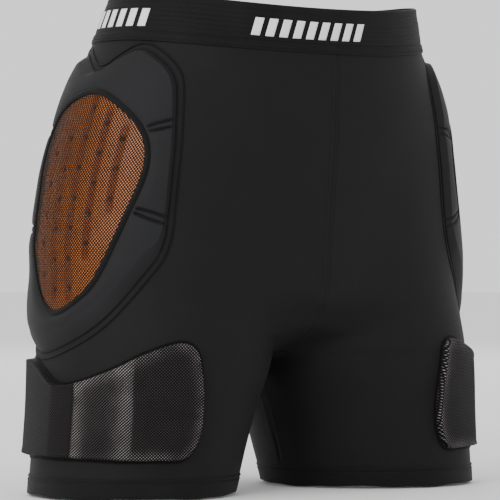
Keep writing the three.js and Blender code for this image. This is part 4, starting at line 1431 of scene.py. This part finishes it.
class SHORTS_OT_stage(Operator):
    """The pale floor, the soft lights and the camera"""

    bl_idname = "shorts.stage"
    bl_label = "Stage"

    TURN = math.radians(-37)
    DISTANCE = 3.0
    AIM = Vector((0.0, 0.022, -0.216))
    LENS = 246.24
    FLOOR_GAP = 0.0006
    # each light's name, place, size and power
    LIGHTS = (
        ("key", (-3.3, -1.9, 1.4), (1.5, 2.2), 68),
        ("side", (-3.6, -0.3, 1.3), (0.9, 1.8), 34),
        ("back", (2.2, 3.0, 1.8), (1.8, 1.8), 30),
    )

    def light(self, name, place, size, power):
        data = bpy.data.lights.new(name, "AREA")
        data.shape = "RECTANGLE"
        data.size, data.size_y = size
        data.energy = power
        obj = bpy.data.objects.new(name, data)
        obj.location = place
        obj.rotation_euler = (self.AIM - Vector(place)).to_track_quat("-Z", "Y").to_euler()
        bpy.context.collection.objects.link(obj)

    def execute(self, context):
        bm = bmesh.new()
        bmesh.ops.create_circle(bm, cap_ends=True, segments=96, radius=14.0)
        bmesh.ops.translate(bm, verts=bm.verts[:], vec=(0, 0, CAD_LOW.z - self.FLOOR_GAP))
        mesh = bpy.data.meshes.new("floor")
        bm.to_mesh(mesh)
        bm.free()
        floor = bpy.data.objects.new("floor", mesh)
        bpy.context.collection.objects.link(floor)
        paper = Shader("floor_paper", (0.86, 0.86, 0.86), 0.9, specular_ior_level=0.1)
        paper.link(paper.mix(paper.noise(1.5), (0.85, 0.85, 0.85), (0.87, 0.87, 0.87)), "Base Color")
        mesh.materials.append(paper.material)
        world = bpy.data.worlds.new("studio")
        world.use_nodes = True
        sky = world.node_tree.nodes["Background"]
        sky.inputs["Color"].default_value = (1, 1, 1, 1)
        sky.inputs["Strength"].default_value = 1.2
        bpy.context.scene.world = world
        for light in self.LIGHTS:
            self.light(*light)
        data = bpy.data.cameras.new("camera")
        data.lens = self.LENS
        data.sensor_width = 36.0
        camera = bpy.data.objects.new("camera", data)
        toward = Vector((-math.sin(self.TURN), math.cos(self.TURN), 0))
        camera.location = self.AIM - toward * self.DISTANCE
        camera.rotation_euler = toward.to_track_quat("-Z", "Y").to_euler()
        bpy.context.collection.objects.link(camera)
        bpy.context.scene.camera = camera
        return {"FINISHED"}


# ---- add-on ----

STEPS = (SHORTS_OT_stage, SHORTS_OT_body_fabric, SHORTS_OT_waistband, SHORTS_OT_hems, SHORTS_OT_hip_pads,
         SHORTS_OT_hip_windows, SHORTS_OT_thigh_pads, SHORTS_OT_tail_pad, SHORTS_OT_body_seams)


class SHORTS_PT_panel(Panel):
    """Lists the steps that build the shorts, and their sizes and colours"""

    bl_idname = "SHORTS_PT_panel"
    bl_label = "Padded shorts"
    bl_space_type = "VIEW_3D"
    bl_region_type = "UI"
    bl_category = "Shorts"

    def draw(self, context):
        for step in STEPS:
            self.layout.operator(step.bl_idname)
        for group in (context.scene.shorts_sizes, context.scene.shorts_colours):
            for name in type(group).__annotations__:
                self.layout.prop(group, name)


CLASSES = (ShortsSizes, ShortsColours, *STEPS, SHORTS_PT_panel)


def register():
    for cls in CLASSES:
        bpy.utils.register_class(cls)
    bpy.types.Scene.shorts_sizes = PointerProperty(type=ShortsSizes)
    bpy.types.Scene.shorts_colours = PointerProperty(type=ShortsColours)


def unregister():
    del bpy.types.Scene.shorts_colours
    del bpy.types.Scene.shorts_sizes
    for cls in reversed(CLASSES):
        bpy.utils.unregister_class(cls)


def main():
    register()
    for step in STEPS:
        group, name = step.bl_idname.split(".")
        getattr(getattr(bpy.ops, group), name)()


if __name__ == "__main__":
    main()
